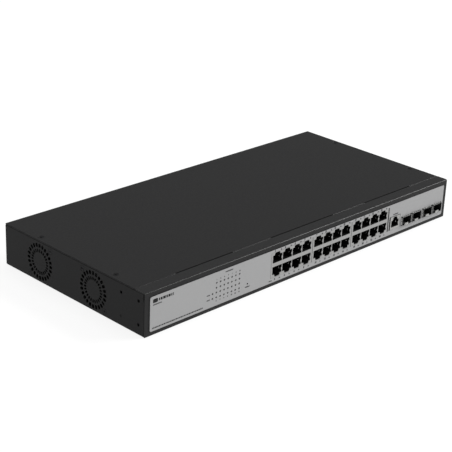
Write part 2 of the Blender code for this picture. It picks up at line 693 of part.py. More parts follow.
def add_fins(bm, low, high, count, fin, base):
    """Add the gaps between the fins of a heat sink whose fins run along X."""
    depth = high[1] - low[1]
    space = (depth - count * fin) / (count - 1)
    for number in range(count - 1):
        start = low[1] + fin + number * (fin + space)
        add_box(bm, (low[0] - 1, start, low[2] + base), (high[0] + 1, start + space, high[2] + 1))


def finned_sink(name, low, high, count, fin, base):
    """Extruded heat sink with straight fins."""
    sink = box_part(name, low, high, BLACK_ALUMINIUM)
    gaps = bmesh.new()
    add_fins(gaps, low, high, count, fin, base)
    cut(sink, gaps)


def standing_block(name, corners, seat, height, material):
    """Make a block that stands on a board, from two opposite corners of its plan."""
    (left, front), (right, back) = corners
    box_part(name, (left, front, seat), (right, back, seat + height), material)


def build_main_board():
    """Main circuit board on four standoffs, with its chips and heat sink."""
    standing_block("main_pcb", MAIN_BOARD, BOARD_TOP - BOARD_SHEET, BOARD_SHEET, GREEN_LAMINATE)
    for number, (x, y) in enumerate(STANDOFFS, start=1):
        bm = bmesh.new()
        low = BASE_SHEET + GAP
        add_rod(bm, (x, y, low), (0, 0, 1), STANDOFF_RADIUS, BOARD_TOP - BOARD_SHEET - GAP - low, 6)
        part(f"pcb_standoff_{number}", bm, BRASS, origin=(x, y, low))

    x, y = SWITCH_CHIP
    half = SWITCH_CHIP_HALF
    standing_block("switch_chip", ((x - half, y - half), (x + half, y + half)), BOARD_SEAT, SWITCH_CHIP_SHEET,
                   CHIP_EPOXY)
    half = SWITCH_SINK_HALF
    sink_low = BOARD_SEAT + SWITCH_CHIP_SHEET + GAP
    finned_sink("switch_heatsink", (x - half, y - half, sink_low),
                (x + half, y + half, sink_low + SWITCH_SINK_HEIGHT), 9, 1.2, 3.0)
    for number, (x, y, half) in enumerate(PHY_CHIPS, start=1):
        standing_block(f"phy_chip_{number}", ((x - half, y - half), (x + half, y + half)), BOARD_SEAT,
                       PHY_CHIP_SHEET, CHIP_EPOXY)
    standing_block("pcb_power_header", MAIN_HEADER, BOARD_SEAT, HEADER_HEIGHT, WHITE_NYLON)


def build_power_supply():
    """Open-frame power supply beside the mains inlet."""
    standing_block("psu_board", POWER_BOARD, POWER_BOARD_TOP - BOARD_SHEET, BOARD_SHEET, TAN_LAMINATE)
    x, y = CAPACITOR_PLACE
    bm = bmesh.new()
    add_rod(bm, (x, y, POWER_SEAT), (0, 0, 1), CAPACITOR_RADIUS, CAPACITOR_HEIGHT, 24)
    part("psu_bulk_capacitor", bm, CAPACITOR_SLEEVE, origin=(x, y, POWER_SEAT), smooth=True)
    for name, (low, high, height), material in (("psu_transformer", TRANSFORMER, FERRITE),
                                                ("psu_choke", CHOKE, FERRITE),
                                                ("psu_output_header", OUTPUT_HEADER, WHITE_NYLON)):
        standing_block(name, (low, high), POWER_SEAT, height, material)
    low, high, height = POWER_SINK
    finned_sink("psu_heatsink", (*low, POWER_SEAT), (*high, POWER_SEAT + height), 3, 1.6, 2.5)


def header_top(corners, seat):
    """The point above the middle of a header where the lead ends."""
    (left, front), (right, back) = corners
    return Vector(((left + right) / 2, (front + back) / 2, seat + HEADER_HEIGHT + LEAD_LIFT))


def build_lead():
    """Lead from the power supply to the main board, on one smooth arch."""
    lead = bpy.data.curves.new("dc_lead", "CURVE")
    lead.dimensions = "3D"
    lead.bevel_depth = LEAD_RADIUS * MM
    lead.bevel_resolution = 2
    lead.use_fill_caps = True
    spline = lead.splines.new("POLY")
    start = header_top(OUTPUT_HEADER[:2], POWER_SEAT)
    end = header_top(MAIN_HEADER, BOARD_SEAT)
    rise = Vector((0, 0, LEAD_RISE))
    spline.points.add(LEAD_STEPS)
    for step in range(LEAD_STEPS + 1):
        t = step / LEAD_STEPS
        point = (start * (1 - t) ** 3 + (start + rise) * 3 * t * (1 - t) ** 2
                 + (end + rise) * 3 * t * t * (1 - t) + end * t ** 3)
        spline.points[step].co = (*(point * MM), 1)
    cable = bpy.data.objects.new("dc_lead", lead)
    PARTS.objects.link(cable)
    lead.materials.append(CABLE_JACKET)
    cable.parent = SWITCH


def mirrored_outline(centre_x, centre_z, quarter_points):
    """Outline that is mirrored left to right. Its right half goes from bottom to top."""
    right = [(centre_x + across, centre_z + up) for across, up in quarter_points]
    left = [(centre_x - across, centre_z + up) for across, up in reversed(quarter_points)]
    return right + left


def build_inlet():
    """Mains inlet: a flanged moulding that passes through the rear wall."""
    across, up = INLET_BODY
    bm = bmesh.new()
    add_box(bm, (INLET_X - across, INLET_FRONT, INLET_Z - up),
            (INLET_X + across, INLET_FLANGE_REAR - 0.5, INLET_Z + up))
    inlet = part("ac_inlet", bm, BLACK_NYLON)

    wide, tall = INLET_FLANGE
    shoulder = across + 2
    end = INLET_FLANGE_END_HALF
    flange = bmesh.new()
    corners = ((shoulder, -tall), (wide, -end), (wide, end), (shoulder, tall))
    outline = mirrored_outline(INLET_X, INLET_Z, corners)
    add_prism(flange, outline, "Y", HALF_DEPTH + GAP, INLET_FLANGE_REAR)
    join(inlet, flange)

    half, tall = INLET_CAVITY
    cavity = bmesh.new()
    corners = ((half, -tall), (half, tall - INLET_KEY), (half - INLET_KEY, tall))
    outline = mirrored_outline(INLET_X, INLET_Z, corners)
    add_prism(cavity, outline, "Y", INLET_FLANGE_REAR - INLET_CAVITY_DEPTH, INLET_FLANGE_REAR + 1)
    for side in (-1, 1):
        place = (INLET_X + side * INLET_SCREW_OFFSET, INLET_FLANGE_REAR + 0.1, INLET_Z)
        add_rod(cavity, place, (0, -1, 0), 3.2, 3.4, 12, end_radius=M3_CLEARANCE)
    cut(inlet, cavity)


# ---------------------------------------------------------------- fans

def fan_frame(name, fan_y):
    """Square fan housing with a round bore and a spider that carries the motor."""
    bm = bmesh.new()
    add_box(bm, (FAN_FRAME_X, fan_y - FAN_HALF, FAN_Z - FAN_HALF),
            (FAN_BACK_X, fan_y + FAN_HALF, FAN_Z + FAN_HALF))
    frame = part(name, bm, BLACK_NYLON, origin=(FAN_FRAME_X, fan_y, FAN_Z))
    bores = bmesh.new()
    add_rod(bores, (FAN_FRAME_X - 1, fan_y, FAN_Z), (1, 0, 0), FAN_BORE, FAN_DEPTH + 2, 32)
    for y, z in fan_screw_places():
        if abs(y - fan_y) <= FAN_HALF:
            add_rod(bores, (FAN_FRAME_X - 1, y, z), (1, 0, 0), M3_CLEARANCE, 9, 10)
    cut(frame, bores)

    spider = bmesh.new()
    strut_x = FAN_BACK_X - SPIDER_SHEET
    add_rod(spider, (strut_x, fan_y, FAN_Z), (1, 0, 0), SPIDER_RADIUS, SPIDER_SHEET, 24)
    join(frame, spider)
    struts = bmesh.new()
    for turn in range(4):
        angle = math.pi / 4 + math.pi / 2 * turn
        radial = Vector((math.cos(angle), math.sin(angle)))
        across = Vector((-math.sin(angle), math.cos(angle))) * STRUT_HALF_WIDTH
        near = Vector((fan_y, FAN_Z)) + radial * (SPIDER_RADIUS - 1.5)
        far = Vector((fan_y, FAN_Z)) + radial * (FAN_BORE + 1.5)
        outline = (near - across, far - across, far + across, near + across)
        add_prism(struts, outline, "X", strut_x, FAN_BACK_X)
    join(frame, struts)


def fan_rotor(name, fan_y):
    """Cup-shaped hub with a shaft and seven pitched blades, turning about X."""
    front = ROTOR_FRONT_X
    back = ROTOR_BACK_X
    inner = HUB_RADIUS - HUB_WALL
    bm = bmesh.new()
    cup = ((0, front), (HUB_RADIUS - HUB_CHAMFER, front), (HUB_RADIUS, front + HUB_CHAMFER),
           (HUB_RADIUS, back), (inner, back), (inner, front + HUB_FACE), (SHAFT_RADIUS, front + HUB_FACE),
           (SHAFT_RADIUS, back - 1), (0, back - 1))
    add_turned(bm, cup, (0, fan_y, FAN_Z), (1, 0, 0), 24)
    rotor = part(name, bm, BLACK_PBT, origin=(front, fan_y, FAN_Z), smooth=True)

    blades = bmesh.new()
    length = BLADE_TIP - HUB_RADIUS + BLADE_ROOT
    hub = Matrix.Translation(Vector(((front + back) / 2, fan_y, FAN_Z)) * MM)
    place = Matrix.Translation(Vector((0, 0, HUB_RADIUS - BLADE_ROOT + length / 2)) * MM)
    pitch = Matrix.Rotation(BLADE_PITCH, 4, "Z")
    size = Matrix.Diagonal((Vector((BLADE_SHEET, BLADE_CHORD, length)) * MM).to_4d())
    for blade in range(BLADE_COUNT):
        turn = Matrix.Rotation(math.tau * blade / BLADE_COUNT, 4, "X")
        bmesh.ops.create_cube(blades, size=1.0, matrix=hub @ turn @ place @ pitch @ size)
    join(rotor, blades)


def fan_stator(name, fan_y):
    """Motor winding block inside the hub, with a bore for the shaft."""
    front = ROTOR_FRONT_X + HUB_FACE + 2 * GAP
    back = FAN_BACK_X - SPIDER_SHEET - GAP
    bm = bmesh.new()
    add_rod(bm, (front, fan_y, FAN_Z), (1, 0, 0), STATOR_RADIUS, back - front, 20)
    stator = part(name, bm, COPPER, origin=(front, fan_y, FAN_Z), smooth=True)
    bore = bmesh.new()
    add_rod(bore, (front - 1, fan_y, FAN_Z), (1, 0, 0), SHAFT_RADIUS + SHAFT_CLEARANCE, back - front - 1, 12)
    cut(stator, bore)


def build_fans():
    """Rear and front fan, blowing through the grilles in the left wall."""
    for label, fan_y in zip(("rear", "front"), FAN_Y):
        fan_frame(f"{label}_fan_frame", fan_y)
        fan_rotor(f"{label}_fan_rotor", fan_y)
        fan_stator(f"{label}_fan_stator", fan_y)


clear_scene()
PARTS = new_collection("network_switch")
CUTTERS = new_collection("network_switch_cutters")
SWITCH = bpy.data.objects.new("network_switch", None)
PARTS.objects.link(SWITCH)

COATED_STEEL = finish("coated_steel", (0.032, 0.032, 0.033), 0.55, 0.0)
SILVER_FILM = finish("silver_film", (0.38, 0.38, 0.38), 0.5, 0.2)
TINNED_STEEL = finish("tinned_steel", (0.55, 0.55, 0.54), 0.3, 1.0)
BLACK_ZINC = finish("black_zinc", (0.03, 0.03, 0.03), 0.4, 0.8)
NICKEL = finish("nickel", (0.6, 0.57, 0.52), 0.25, 1.0)
BRASS = finish("brass", (0.7, 0.52, 0.2), 0.3, 1.0)
COPPER = finish("copper_winding", (0.7, 0.3, 0.15), 0.35, 1.0)
BLACK_NYLON = finish("black_nylon", (0.012, 0.012, 0.012), 0.5, 0.0)
BLACK_PBT = finish("black_pbt", (0.02, 0.02, 0.02), 0.4, 0.0)
WHITE_NYLON = finish("white_nylon", (0.75, 0.74, 0.7), 0.45, 0.0)
CLEAR_ACRYLIC = finish("clear_acrylic", (0.25, 0.25, 0.25), 0.2, 0.0)
GREEN_LAMINATE = finish("green_laminate", (0.02, 0.12, 0.05), 0.4, 0.0)
TAN_LAMINATE = finish("tan_laminate", (0.45, 0.32, 0.16), 0.5, 0.0)
CHIP_EPOXY = finish("chip_epoxy", (0.02, 0.02, 0.022), 0.6, 0.0)
BLACK_ALUMINIUM = finish("black_aluminium", (0.03, 0.03, 0.03), 0.4, 0.6)
FERRITE = finish("ferrite", (0.05, 0.05, 0.05), 0.7, 0.0)
CAPACITOR_SLEEVE = finish("capacitor_sleeve", (0.02, 0.03, 0.08), 0.35, 0.0)
CABLE_JACKET = finish("cable_jacket", (0.25, 0.02, 0.02), 0.5, 0.0)

build_chassis_base()
build_top_cover()
build_front_panel()
build_front_overlay()
build_screws()
build_ports()
build_cages()
build_light_pipe()
build_reset()
build_main_board()
build_power_supply()
build_lead()
build_inlet()
build_fans()
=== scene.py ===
"""Looks of a one-unit rackmount network switch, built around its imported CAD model.

X runs across the width, -Y is the port side, +Z is up. Helper functions take millimetres.
"""
import math

import bmesh
import bpy
from mathutils import Matrix, Vector


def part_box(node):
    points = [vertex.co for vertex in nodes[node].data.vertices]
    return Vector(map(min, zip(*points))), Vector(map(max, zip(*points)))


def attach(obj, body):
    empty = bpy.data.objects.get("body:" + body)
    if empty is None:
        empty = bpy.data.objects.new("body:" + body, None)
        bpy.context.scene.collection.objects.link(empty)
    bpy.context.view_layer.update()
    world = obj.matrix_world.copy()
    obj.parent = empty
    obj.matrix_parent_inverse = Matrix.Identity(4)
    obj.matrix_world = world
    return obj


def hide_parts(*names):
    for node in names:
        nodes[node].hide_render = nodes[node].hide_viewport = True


MM = 0.001
CASE = "case"
SMOOTH_ANGLE = 35

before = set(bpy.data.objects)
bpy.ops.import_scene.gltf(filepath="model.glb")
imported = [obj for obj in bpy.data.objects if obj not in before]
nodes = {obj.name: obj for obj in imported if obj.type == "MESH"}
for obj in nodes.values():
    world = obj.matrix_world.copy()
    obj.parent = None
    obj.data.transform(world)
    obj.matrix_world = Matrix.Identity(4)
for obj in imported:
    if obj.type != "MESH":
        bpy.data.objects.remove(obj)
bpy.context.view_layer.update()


def low_high(node):
    """Corners of a CAD node in millimetres."""
    low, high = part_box(node)
    return low / MM, high / MM


def centre_of(node):
    """Middle of a CAD node in millimetres."""
    low, high = low_high(node)
    return (low + high) / 2


BASE_LOW, BASE_HIGH = low_high("chassis_base")
PANEL_LOW, PANEL_HIGH = low_high("front_panel")
COVER_LOW, COVER_HIGH = low_high("top_cover")
OVERLAY_LOW, OVERLAY_HIGH = low_high("front_overlay")
INLET_LOW, INLET_HIGH = low_high("ac_inlet")

# Sheet thicknesses and bends
BASE_SHEET = 1.0
COVER_SHEET = 1.2
FRONT_BEND = 1.1
TIGHT_BEND = 0.45
FLANGE_WIDTH = 14.0
TAB_VALLEY = 1.2
COVER_TABS = ((-171.0, -98.0), (-46.0, 46.0), (96.0, 171.0))
WALL_SEAM = 0.15
EDGE = 0.12
SMALL_SCREW_HOLE = 1.8
GROUND_SCREW_HOLE = 2.3
FAN_COUNTERSINK = 3.0
COVER_COUNTERSINK = 3.2

# Silver film over the front, and the layer that glues it down
FILM_SHEET = 0.3
FILM_INSET = 0.25
ADHESIVE_INSET = 0.6

# Copper ports
SHIELD_SHEET = 0.25
PORT_PITCH = 13.97
PORT_COLUMNS = (-1.5, -0.5, 0.5, 1.5)
PORT_HALF_WIDTH = 6.55
UPPER_PORT_Z = (24.6, 32.8)
LOWER_PORT_Z = (12.3, 20.6)
LATCH_REACH = 2.55
LATCH_BASE_HALF = 4.0
LATCH_TIP_HALF = 3.35
LATCH_OFFSET = -0.28
SPRING_DROP = 0.6
MODULE_WINDOW_GAPS = (0.3, 1.7)
FLUSH_GAP = 0.12
CONTACT_PITCH = 1.02
CONTACT_RADIUS = 0.18
CONTACTS = 8
SPRING_SETBACK = 3.2

# Console jack
CONSOLE_PORT_X = 131.65
CONSOLE_PORT_Z = (12.0, 19.5)
CONSOLE_PORT_HALF = 6.1
CONSOLE_LATCH_REACH = 3.8
CONSOLE_LATCH_BASE_HALF = 4.4
CONSOLE_LATCH_TIP_HALF = 2.4
CONSOLE_WINDOW_GAPS = (1.25, 0.4)
CONSOLE_TOP_GAP = 0.7
CONSOLE_INSET = 0.8

# Windows over jacks: painted gap shade piece, shields at both ends, gaps at the sides, inset, gap above
JACK_WINDOWS = (
    ("console_gap_shade", ("console_shield", "console_shield"), CONSOLE_WINDOW_GAPS, CONSOLE_INSET,
     CONSOLE_TOP_GAP),
    ("module_gap_shade", ("rj45_shield_1", "rj45_shield_3"), MODULE_WINDOW_GAPS, 0.0, FLUSH_GAP),
)

# Fibre cages. Rows of fingers are (count, pitch, width).
CAGE_SHEET = 0.25
CAGE_SETBACK = 1.2
CAGE_DROP = 0.8
TONGUE_HALF = 2.9
TONGUE_HEIGHT = 2.1
TONGUE_SHEET = 0.25
TONGUE_REACH = 9.0
TOP_FINGERS = (4, 3.45, 2.0)
SIDE_FINGERS = (2, 4.1, 3.5)
FINGER_LENGTH = 1.5
FINGER_STEPS = 6
FINGER_SETBACK = 0.8

# Side walls: grille rings as (inner radius, outer radius, slot width), nut as (radius, bore, thickness)
GRILLE_SLOTS = 24
GRILLE_RINGS = ((14.6, 19.1, 3.1), (9.6, 13.2, 2.0))
EAR_HOLE_RADIUS = 1.6
EAR_HOLES = ((-93.5, 33.4), (-69.9, 33.4), (-93.5, 9.9))
EAR_DIMPLE = (-69.9, 9.9)
EAR_DIMPLE_DEPTH = 0.35
EAR_NUT = (2.6, 0.9, 1.2)
OUTLET_SLOTS = 26
OUTLET_PITCH = 6.0
OUTLET_FIRST_Y = -66.0
OUTLET_SLOT = (2.6, 18.0)

# Foil label on a fan's hub: a ring and a disc
LABEL_RINGS = ((4.0, 7.6), (0.0, 3.6))
LABEL_SHEET = 0.08

# Indicator lights and reset
LED_COLUMN_X = tuple(-132.5 + 5.0 * column for column in range(7))
LED_ROW_Z = (27.6, 22.6, 17.6, 12.6)
EXTRA_LED_X = -137.5
LED_RADIUS = 1.0
LENS_RADIUS = 0.92
LENS_SQUASH = 0.28
RESET_X = -91.3
RESET_Z = 13.9
RESET_RADIUS = 0.9

# Print on the silver film
INK_HEIGHT = 0.02
PORT_NUMBER_SIZE = 2.7
LIGHT_NUMBER_SIZE = 1.7
NUMBER_WEIGHT = 0.075
BADGE_BLOCK = ((-211.5, 31.9), (-205.5, 35.8))
BADGE_CORNER = 1.2
BADGE_LINE = (-204.4, -186.6, 33.9, 2.6, 2.2, 0.75)

# Lines of small print: left, right, middle height, letter height, dash and gap
PRINT_LINES = (
    (-121.5, -111.5, 35.4, 1.2, 1.6, 0.3),
    (-144.8, -140.6, LED_ROW_Z[2], 1.2, 1.0, 0.35),
    (-144.8, -140.6, LED_ROW_Z[3], 1.2, 1.0, 0.35),
    (-94.3, -88.3, 10.8, 1.2, 1.4, 0.3),
    (-211.5, -201.0, 30.1, 1.2, 1.3, 0.3),
    (-212.0, -149.5, 7.1, 1.3, 1.6, 0.45),
    (127.6, 136.0, 26.4, 1.3, 1.4, 0.3),
    (-61.5, -57.5, 6.6, 1.2, 1.3, 0.3),
)


# ---- materials

NOISE_LOW = 0.3
NOISE_HIGH = 0.7


class Shader:
    """A Principled material with helpers that add procedural detail in object space."""

    def __init__(self, name, colour, roughness, metallic=0.0):
        self.material = bpy.data.materials.new(name)
        self.material.use_nodes = True
        self.tree = self.material.node_tree
        self.principled = self.tree.nodes["Principled BSDF"]
        self.set("Base Color", (*colour, 1.0))
        self.set("Roughness", roughness)
        self.set("Metallic", metallic)
        self.colour = colour
        self.roughness = roughness
        self.place = self.tree.nodes.new("ShaderNodeTexCoord").outputs["Object"]

    def set(self, socket, value):
        self.principled.inputs[socket].default_value = value

    def node(self, kind, socket, source, values):
        """Add a node, set its inputs and link source to one of its sockets."""
        node = self.tree.nodes.new(kind)
        for name, value in values.items():
            node.inputs[name].default_value = value
        self.tree.links.new(source, node.inputs[socket])
        return node

    def noise(self, size, detail=3.0, stretch=(1, 1, 1)):
        """Noise whose features are about size millimetres across, stretched along each axis."""
        scale = [1 / factor for factor in stretch]
        mapping = self.node("ShaderNodeMapping", "Vector", self.place, {"Scale": scale})
        values = {"Scale": 1 / (size * MM), "Detail": detail}
        return self.node("ShaderNodeTexNoise", "Vector", mapping.outputs["Vector"], values).outputs["Fac"]

    def wave(self, scale, distortion=0.0):
        """Fine bands, for woven glass and wound wire."""
        values = {"Scale": scale, "Distortion": distortion}
        return self.node("ShaderNodeTexWave", "Vector", self.place, values).outputs["Fac"]

    def vary_roughness(self, source, amount):
        """Let the roughness follow a noise, up and down from its own value."""
        values = {"From Min": NOISE_LOW, "From Max": NOISE_HIGH,
                  "To Min": self.roughness - amount, "To Max": self.roughness + amount}
        node = self.node("ShaderNodeMapRange", "Value", source, values)
        self.tree.links.new(node.outputs["Result"], self.principled.inputs["Roughness"])

    def vary_colour(self, source, amount):
        """Blend between a darker and a lighter shade of the base colour."""
        ramp = self.tree.nodes.new("ShaderNodeValToRGB")
        dark = [channel * (1 - amount) for channel in self.colour]
        light = [channel * (1 + amount) for channel in self.colour]
        ramp.color_ramp.elements[0].position = NOISE_LOW
        ramp.color_ramp.elements[1].position = NOISE_HIGH
        ramp.color_ramp.elements[0].color = (*dark, 1)
        ramp.color_ramp.elements[1].color = (*light, 1)
        self.tree.links.new(source, ramp.inputs["Fac"])
        self.tree.links.new(ramp.outputs["Color"], self.principled.inputs["Base Color"])

    def bump(self, source, depth, strength=1.0):
        """Bump of the given depth in millimetres."""
        node = self.node("ShaderNodeBump", "Height", source, {"Strength": strength, "Distance": depth * MM})
        self.tree.links.new(node.outputs["Normal"], self.principled.inputs["Normal"])


def powder_coat(name, roughness, gloss):
    shader = Shader(name, (0.0134, 0.0134, 0.0136), roughness)
    shader.vary_colour(shader.noise(1.2, detail=4), 0.08)
    shader.vary_roughness(shader.noise(2.0), 0.03)
    shader.bump(shader.noise(0.55, detail=2), 0.03, 0.5)
    shader.set("Specular IOR Level", gloss)
    return shader.material


def silver_film():
    shader = Shader("silver_film", (0.322, 0.322, 0.324), 0.5)
    shader.vary_colour(shader.noise(0.7, detail=4), 0.025)
    shader.vary_roughness(shader.noise(6.0), 0.05)
    shader.bump(shader.noise(0.3, detail=2), 0.008, 0.4)
    return shader.material


def print_ink(name, colour):
    shader = Shader(name, colour, 0.55)
    shader.vary_colour(shader.noise(0.4), 0.08)
    shader.set("Specular IOR Level", 0.15)
    return shader.material


def tin_plate(name, colour, metallic):
    shader = Shader(name, colour, 0.42, metallic=metallic)
    shader.vary_colour(shader.noise(1.5, detail=4), 0.05)
    shader.vary_roughness(shader.noise(0.8, stretch=(1, 1, 6)), 0.08)
    shader.bump(shader.noise(0.25, stretch=(5, 1, 1)), 0.006, 0.5)
    return shader.material


def plated(name, colour, roughness):
    shader = Shader(name, colour, roughness, metallic=1.0)
    shader.vary_colour(shader.noise(0.8), 0.06)
    shader.vary_roughness(shader.noise(1.0), 0.05)
    return shader.material


def moulded(name, colour, roughness, grain=0.25, depth=0.01, gloss=0.5):
    """A moulded plastic with a fine spark-eroded grain."""
    shader = Shader(name, colour, roughness)
    shader.set("Specular IOR Level", gloss)
    shader.vary_colour(shader.noise(1.5), 0.06)
    shader.vary_roughness(shader.noise(2.0), 0.05)
    shader.bump(shader.noise(grain, detail=2), depth, 0.5)
    return shader.material


def laminate(name, colour, roughness):
    """A circuit board: woven glass under a lacquer."""
    shader = Shader(name, colour, roughness)
    shader.vary_colour(shader.wave(800.0, 1.5), 0.12)
    shader.vary_roughness(shader.noise(3.0), 0.06)
    return shader.material


def winding():
    """Enamelled wire: fine turns around the motor's axis."""
    shader = Shader("winding", (0.62, 0.26, 0.12), 0.32, metallic=1.0)
    turns = shader.wave(900.0)
    shader.vary_colour(turns, 0.3)
    shader.bump(turns, 0.08)
    return shader.material


POWDER = powder_coat("powder_coat_base", 0.5, 0.08)
POWDER_COVER = powder_coat("powder_coat_cover", 0.5, 0.13)
POWDER_FRONT = powder_coat("powder_coat_front", 0.5, 0.17)
POWDER_FOLD = powder_coat("powder_coat_fold", 0.26, 0.15)
SILVER = silver_film()
INK = print_ink("print_dark", (0.01, 0.01, 0.0105))
INK_GREY = print_ink("print_grey", (0.03, 0.03, 0.03))
INK_LIGHT = print_ink("print_light", (0.5, 0.5, 0.5))
TIN = tin_plate("tin_plate", (0.35, 0.35, 0.345), 0.9)
SPRING_TIN = tin_plate("spring_tin", (0.5, 0.5, 0.49), 0.6)
BRIGHT_TIN = tin_plate("bright_tin", (0.37, 0.37, 0.36), 0.85)
# Near-black ring around each cage's nose: painted shade between and under the fingers
NOSE_SHADE = moulded("painted_nose_shade", (0.03, 0.03, 0.03), 0.6)
# Near-black sheet behind the gaps around the jacks: painted shade
GAP_SHADE = moulded("painted_gap_shade", (0.008, 0.008, 0.008), 0.8, gloss=0.1)
FOIL = plated("foil_label", (0.75, 0.75, 0.74), 0.3)
# Near-black tin for the inside of the cages: painted shade
TIN_PAINTED_SHADE = plated("tin_painted_shade", (0.05, 0.05, 0.05), 0.6)
BLACK_ZINC = plated("black_zinc", (0.018, 0.018, 0.019), 0.5)
NICKEL = plated("nickel", (0.62, 0.59, 0.54), 0.28)
BRASS = plated("brass", (0.72, 0.52, 0.2), 0.3)
# Gold darkened far below plated gold: painted shade for contacts deep in the jacks
SHADED_GOLD = plated("gold_painted_shade", (0.24, 0.18, 0.08), 0.35)
NYLON = moulded("black_nylon", (0.006, 0.006, 0.0061), 0.6, gloss=0.1)
PBT = moulded("black_pbt", (0.018, 0.018, 0.018), 0.38)
WHITE_NYLON = moulded("white_nylon", (0.72, 0.7, 0.64), 0.45)
LENS = moulded("indicator_lens", (0.035, 0.035, 0.034), 0.3, depth=0.002, gloss=0.3)
GREEN = laminate("green_laminate", (0.012, 0.1, 0.045), 0.36)
TAN = laminate("tan_laminate", (0.42, 0.29, 0.14), 0.5)
EPOXY = moulded("chip_epoxy", (0.018, 0.018, 0.02), 0.6, grain=0.15)
ANODISED = plated("black_anodised", (0.04, 0.04, 0.042), 0.4)
FERRITE = moulded("ferrite", (0.045, 0.045, 0.047), 0.7)
SLEEVE = moulded("capacitor_sleeve", (0.012, 0.018, 0.06), 0.3)
JACKET = moulded("cable_jacket", (0.3, 0.02, 0.018), 0.42)
COPPER = winding()


# ---- mesh helpers, in millimetres

def add_box(bm, low, high):
    low = Vector(low) * MM
    high = Vector(high) * MM
    size = Matrix.Diagonal((high - low).to_4d())
    return bmesh.ops.create_cube(bm, size=1.0, matrix=Matrix.Translation((low + high) / 2) @ size)["verts"]


def add_rod(bm, start, axis, radius, length, sides, end_radius=None):
    direction = Vector(axis).normalized()
    turn = direction.to_track_quat("Z", "Y").to_matrix().to_4x4()
    middle = (Vector(start) + direction * length / 2) * MM
    tip = radius if end_radius is None else end_radius
    bmesh.ops.create_cone(bm, cap_ends=True, segments=sides, radius1=radius * MM, radius2=tip * MM,
                          depth=length * MM, matrix=Matrix.Translation(middle) @ turn)


def add_prism(bm, outline, axis, low, high):
    """Extrude a flat outline along X, Y or Z. The outline's points are in the other two axes."""
    def place(a, b, along):
        point = [a, b]
        point.insert("XYZ".index(axis), along)
        return Vector(point) * MM

    face = bm.faces.new([bm.verts.new(place(a, b, low)) for a, b in outline])
    grown = bmesh.ops.extrude_face_region(bm, geom=[face])
    moved = [item for item in grown["geom"] if isinstance(item, bmesh.types.BMVert)]
    bmesh.ops.translate(bm, verts=moved, vec=place(0, 0, high - low))


def round_corners(points, radius, steps=4, closed=True):
    """Replace each corner of an outline by an arc. radius is a number or one per corner."""
    count = len(points)
    radii = radius if isinstance(radius, (list, tuple)) else [radius] * count
    rounded = []
    for index, corner in enumerate(points):
        if radii[index] <= 0 or (not closed and index in (0, count - 1)):
            rounded.append(tuple(corner))
            continue
        here = Vector(corner)
        back = Vector(points[index - 1]) - here
        ahead = Vector(points[(index + 1) % count]) - here
        half = back.angle(ahead) / 2
        reach = min(radii[index] / math.tan(half), back.length * 0.49, ahead.length * 0.49)
        arc = reach * math.tan(half)
        centre = here + (back.normalized() + ahead.normalized()).normalized() * (arc / math.sin(half))
        first = here + back.normalized() * reach - centre
        last = here + ahead.normalized() * reach - centre
        sweep = first.angle_signed(last)
        for step in range(steps + 1):
            angle = -sweep * step / steps
            cosine = math.cos(angle)
            sine = math.sin(angle)
            rounded.append((centre.x + first.x * cosine - first.y * sine,
                            centre.y + first.x * sine + first.y * cosine))
    return rounded


def circle(x, y, radius, sides=24):
    return [(x + radius * math.cos(math.tau * step / sides), y + radius * math.sin(math.tau * step / sides))
            for step in range(sides)]


def rectangle(low, high):
    return [(low[0], low[1]), (high[0], low[1]), (high[0], high[1]), (low[0], high[1])]


def front_outline(low, high, inset, radius):
    """The rectangle that a box shows in front, inset all round, with round corners."""
    return round_corners(rectangle((low.x + inset, low.z + inset), (high.x - inset, high.z - inset)), radius)


def rounded_slot(inner, outer, width, angle, centre, steps=6):
    """A radial slot with round ends, as an outline."""
    half = width / 2
    outline = []
    for middle, start in ((outer - half, -math.pi / 2), (inner + half, math.pi / 2)):
        for step in range(steps + 1):
            turn = start + math.pi * step / steps
            along = middle + half * math.cos(turn)
            across = half * math.sin(turn)
            outline.append((centre[0] + along * math.cos(angle) - across * math.sin(angle),
                            centre[1] + along * math.sin(angle) + across * math.cos(angle)))
    return outline


def link_object(name, data):
    obj = bpy.data.objects.new(name, data)
    bpy.context.scene.collection.objects.link(obj)
    return obj


def to_mesh(name, bm):
    """Turn a bmesh into a mesh and free it."""
    mesh = bpy.data.meshes.new(name)
    bm.to_mesh(mesh)
    bm.free()
    return mesh


def shade(mesh, smooth_angle):
    """Smooth shading across edges flatter than smooth_angle."""
    mesh.shade_smooth()
    mesh.set_sharp_from_angle(angle=math.radians(smooth_angle))


def evaluated_mesh(obj):
    """A new mesh of what an object's modifiers or curve settings make of it."""
    bpy.context.view_layer.update()
    return bpy.data.meshes.new_from_object(obj.evaluated_get(bpy.context.evaluated_depsgraph_get()))


def curve_mesh(curve):
    """A new mesh of a curve or a text, which is removed."""
    obj = link_object(curve.name, curve)
    mesh = evaluated_mesh(obj)
    bpy.data.objects.remove(obj)
    bpy.data.curves.remove(curve)
    return mesh


def finish_mesh(name, bm, material, smooth_angle=SMOOTH_ANGLE):
    """Turn a bmesh into a shaded object."""
    bmesh.ops.recalc_face_normals(bm, faces=bm.faces)
    mesh = to_mesh(name, bm)
    mesh.materials.append(material)
    shade(mesh, smooth_angle)
    return link_object(name, mesh)


def piece(obj, slot, *replaced, body=CASE):
    """Hang a finished object on its body, give it weighted normals and hide the CAD nodes it stands for. Its
    slot argument is not used.
    """
    weighted = obj.modifiers.new("normals", "WEIGHTED_NORMAL")
    weighted.keep_sharp = True
    weighted.weight = 100
    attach(obj, body)
    if replaced:
        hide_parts(*replaced)


def make_piece(name, bm, material, slot, *replaced, body=CASE, smooth_angle=SMOOTH_ANGLE):
    """Turn a bmesh into a finished piece."""
    piece(finish_mesh(name, bm, material, smooth_angle), slot, *replaced, body=body)


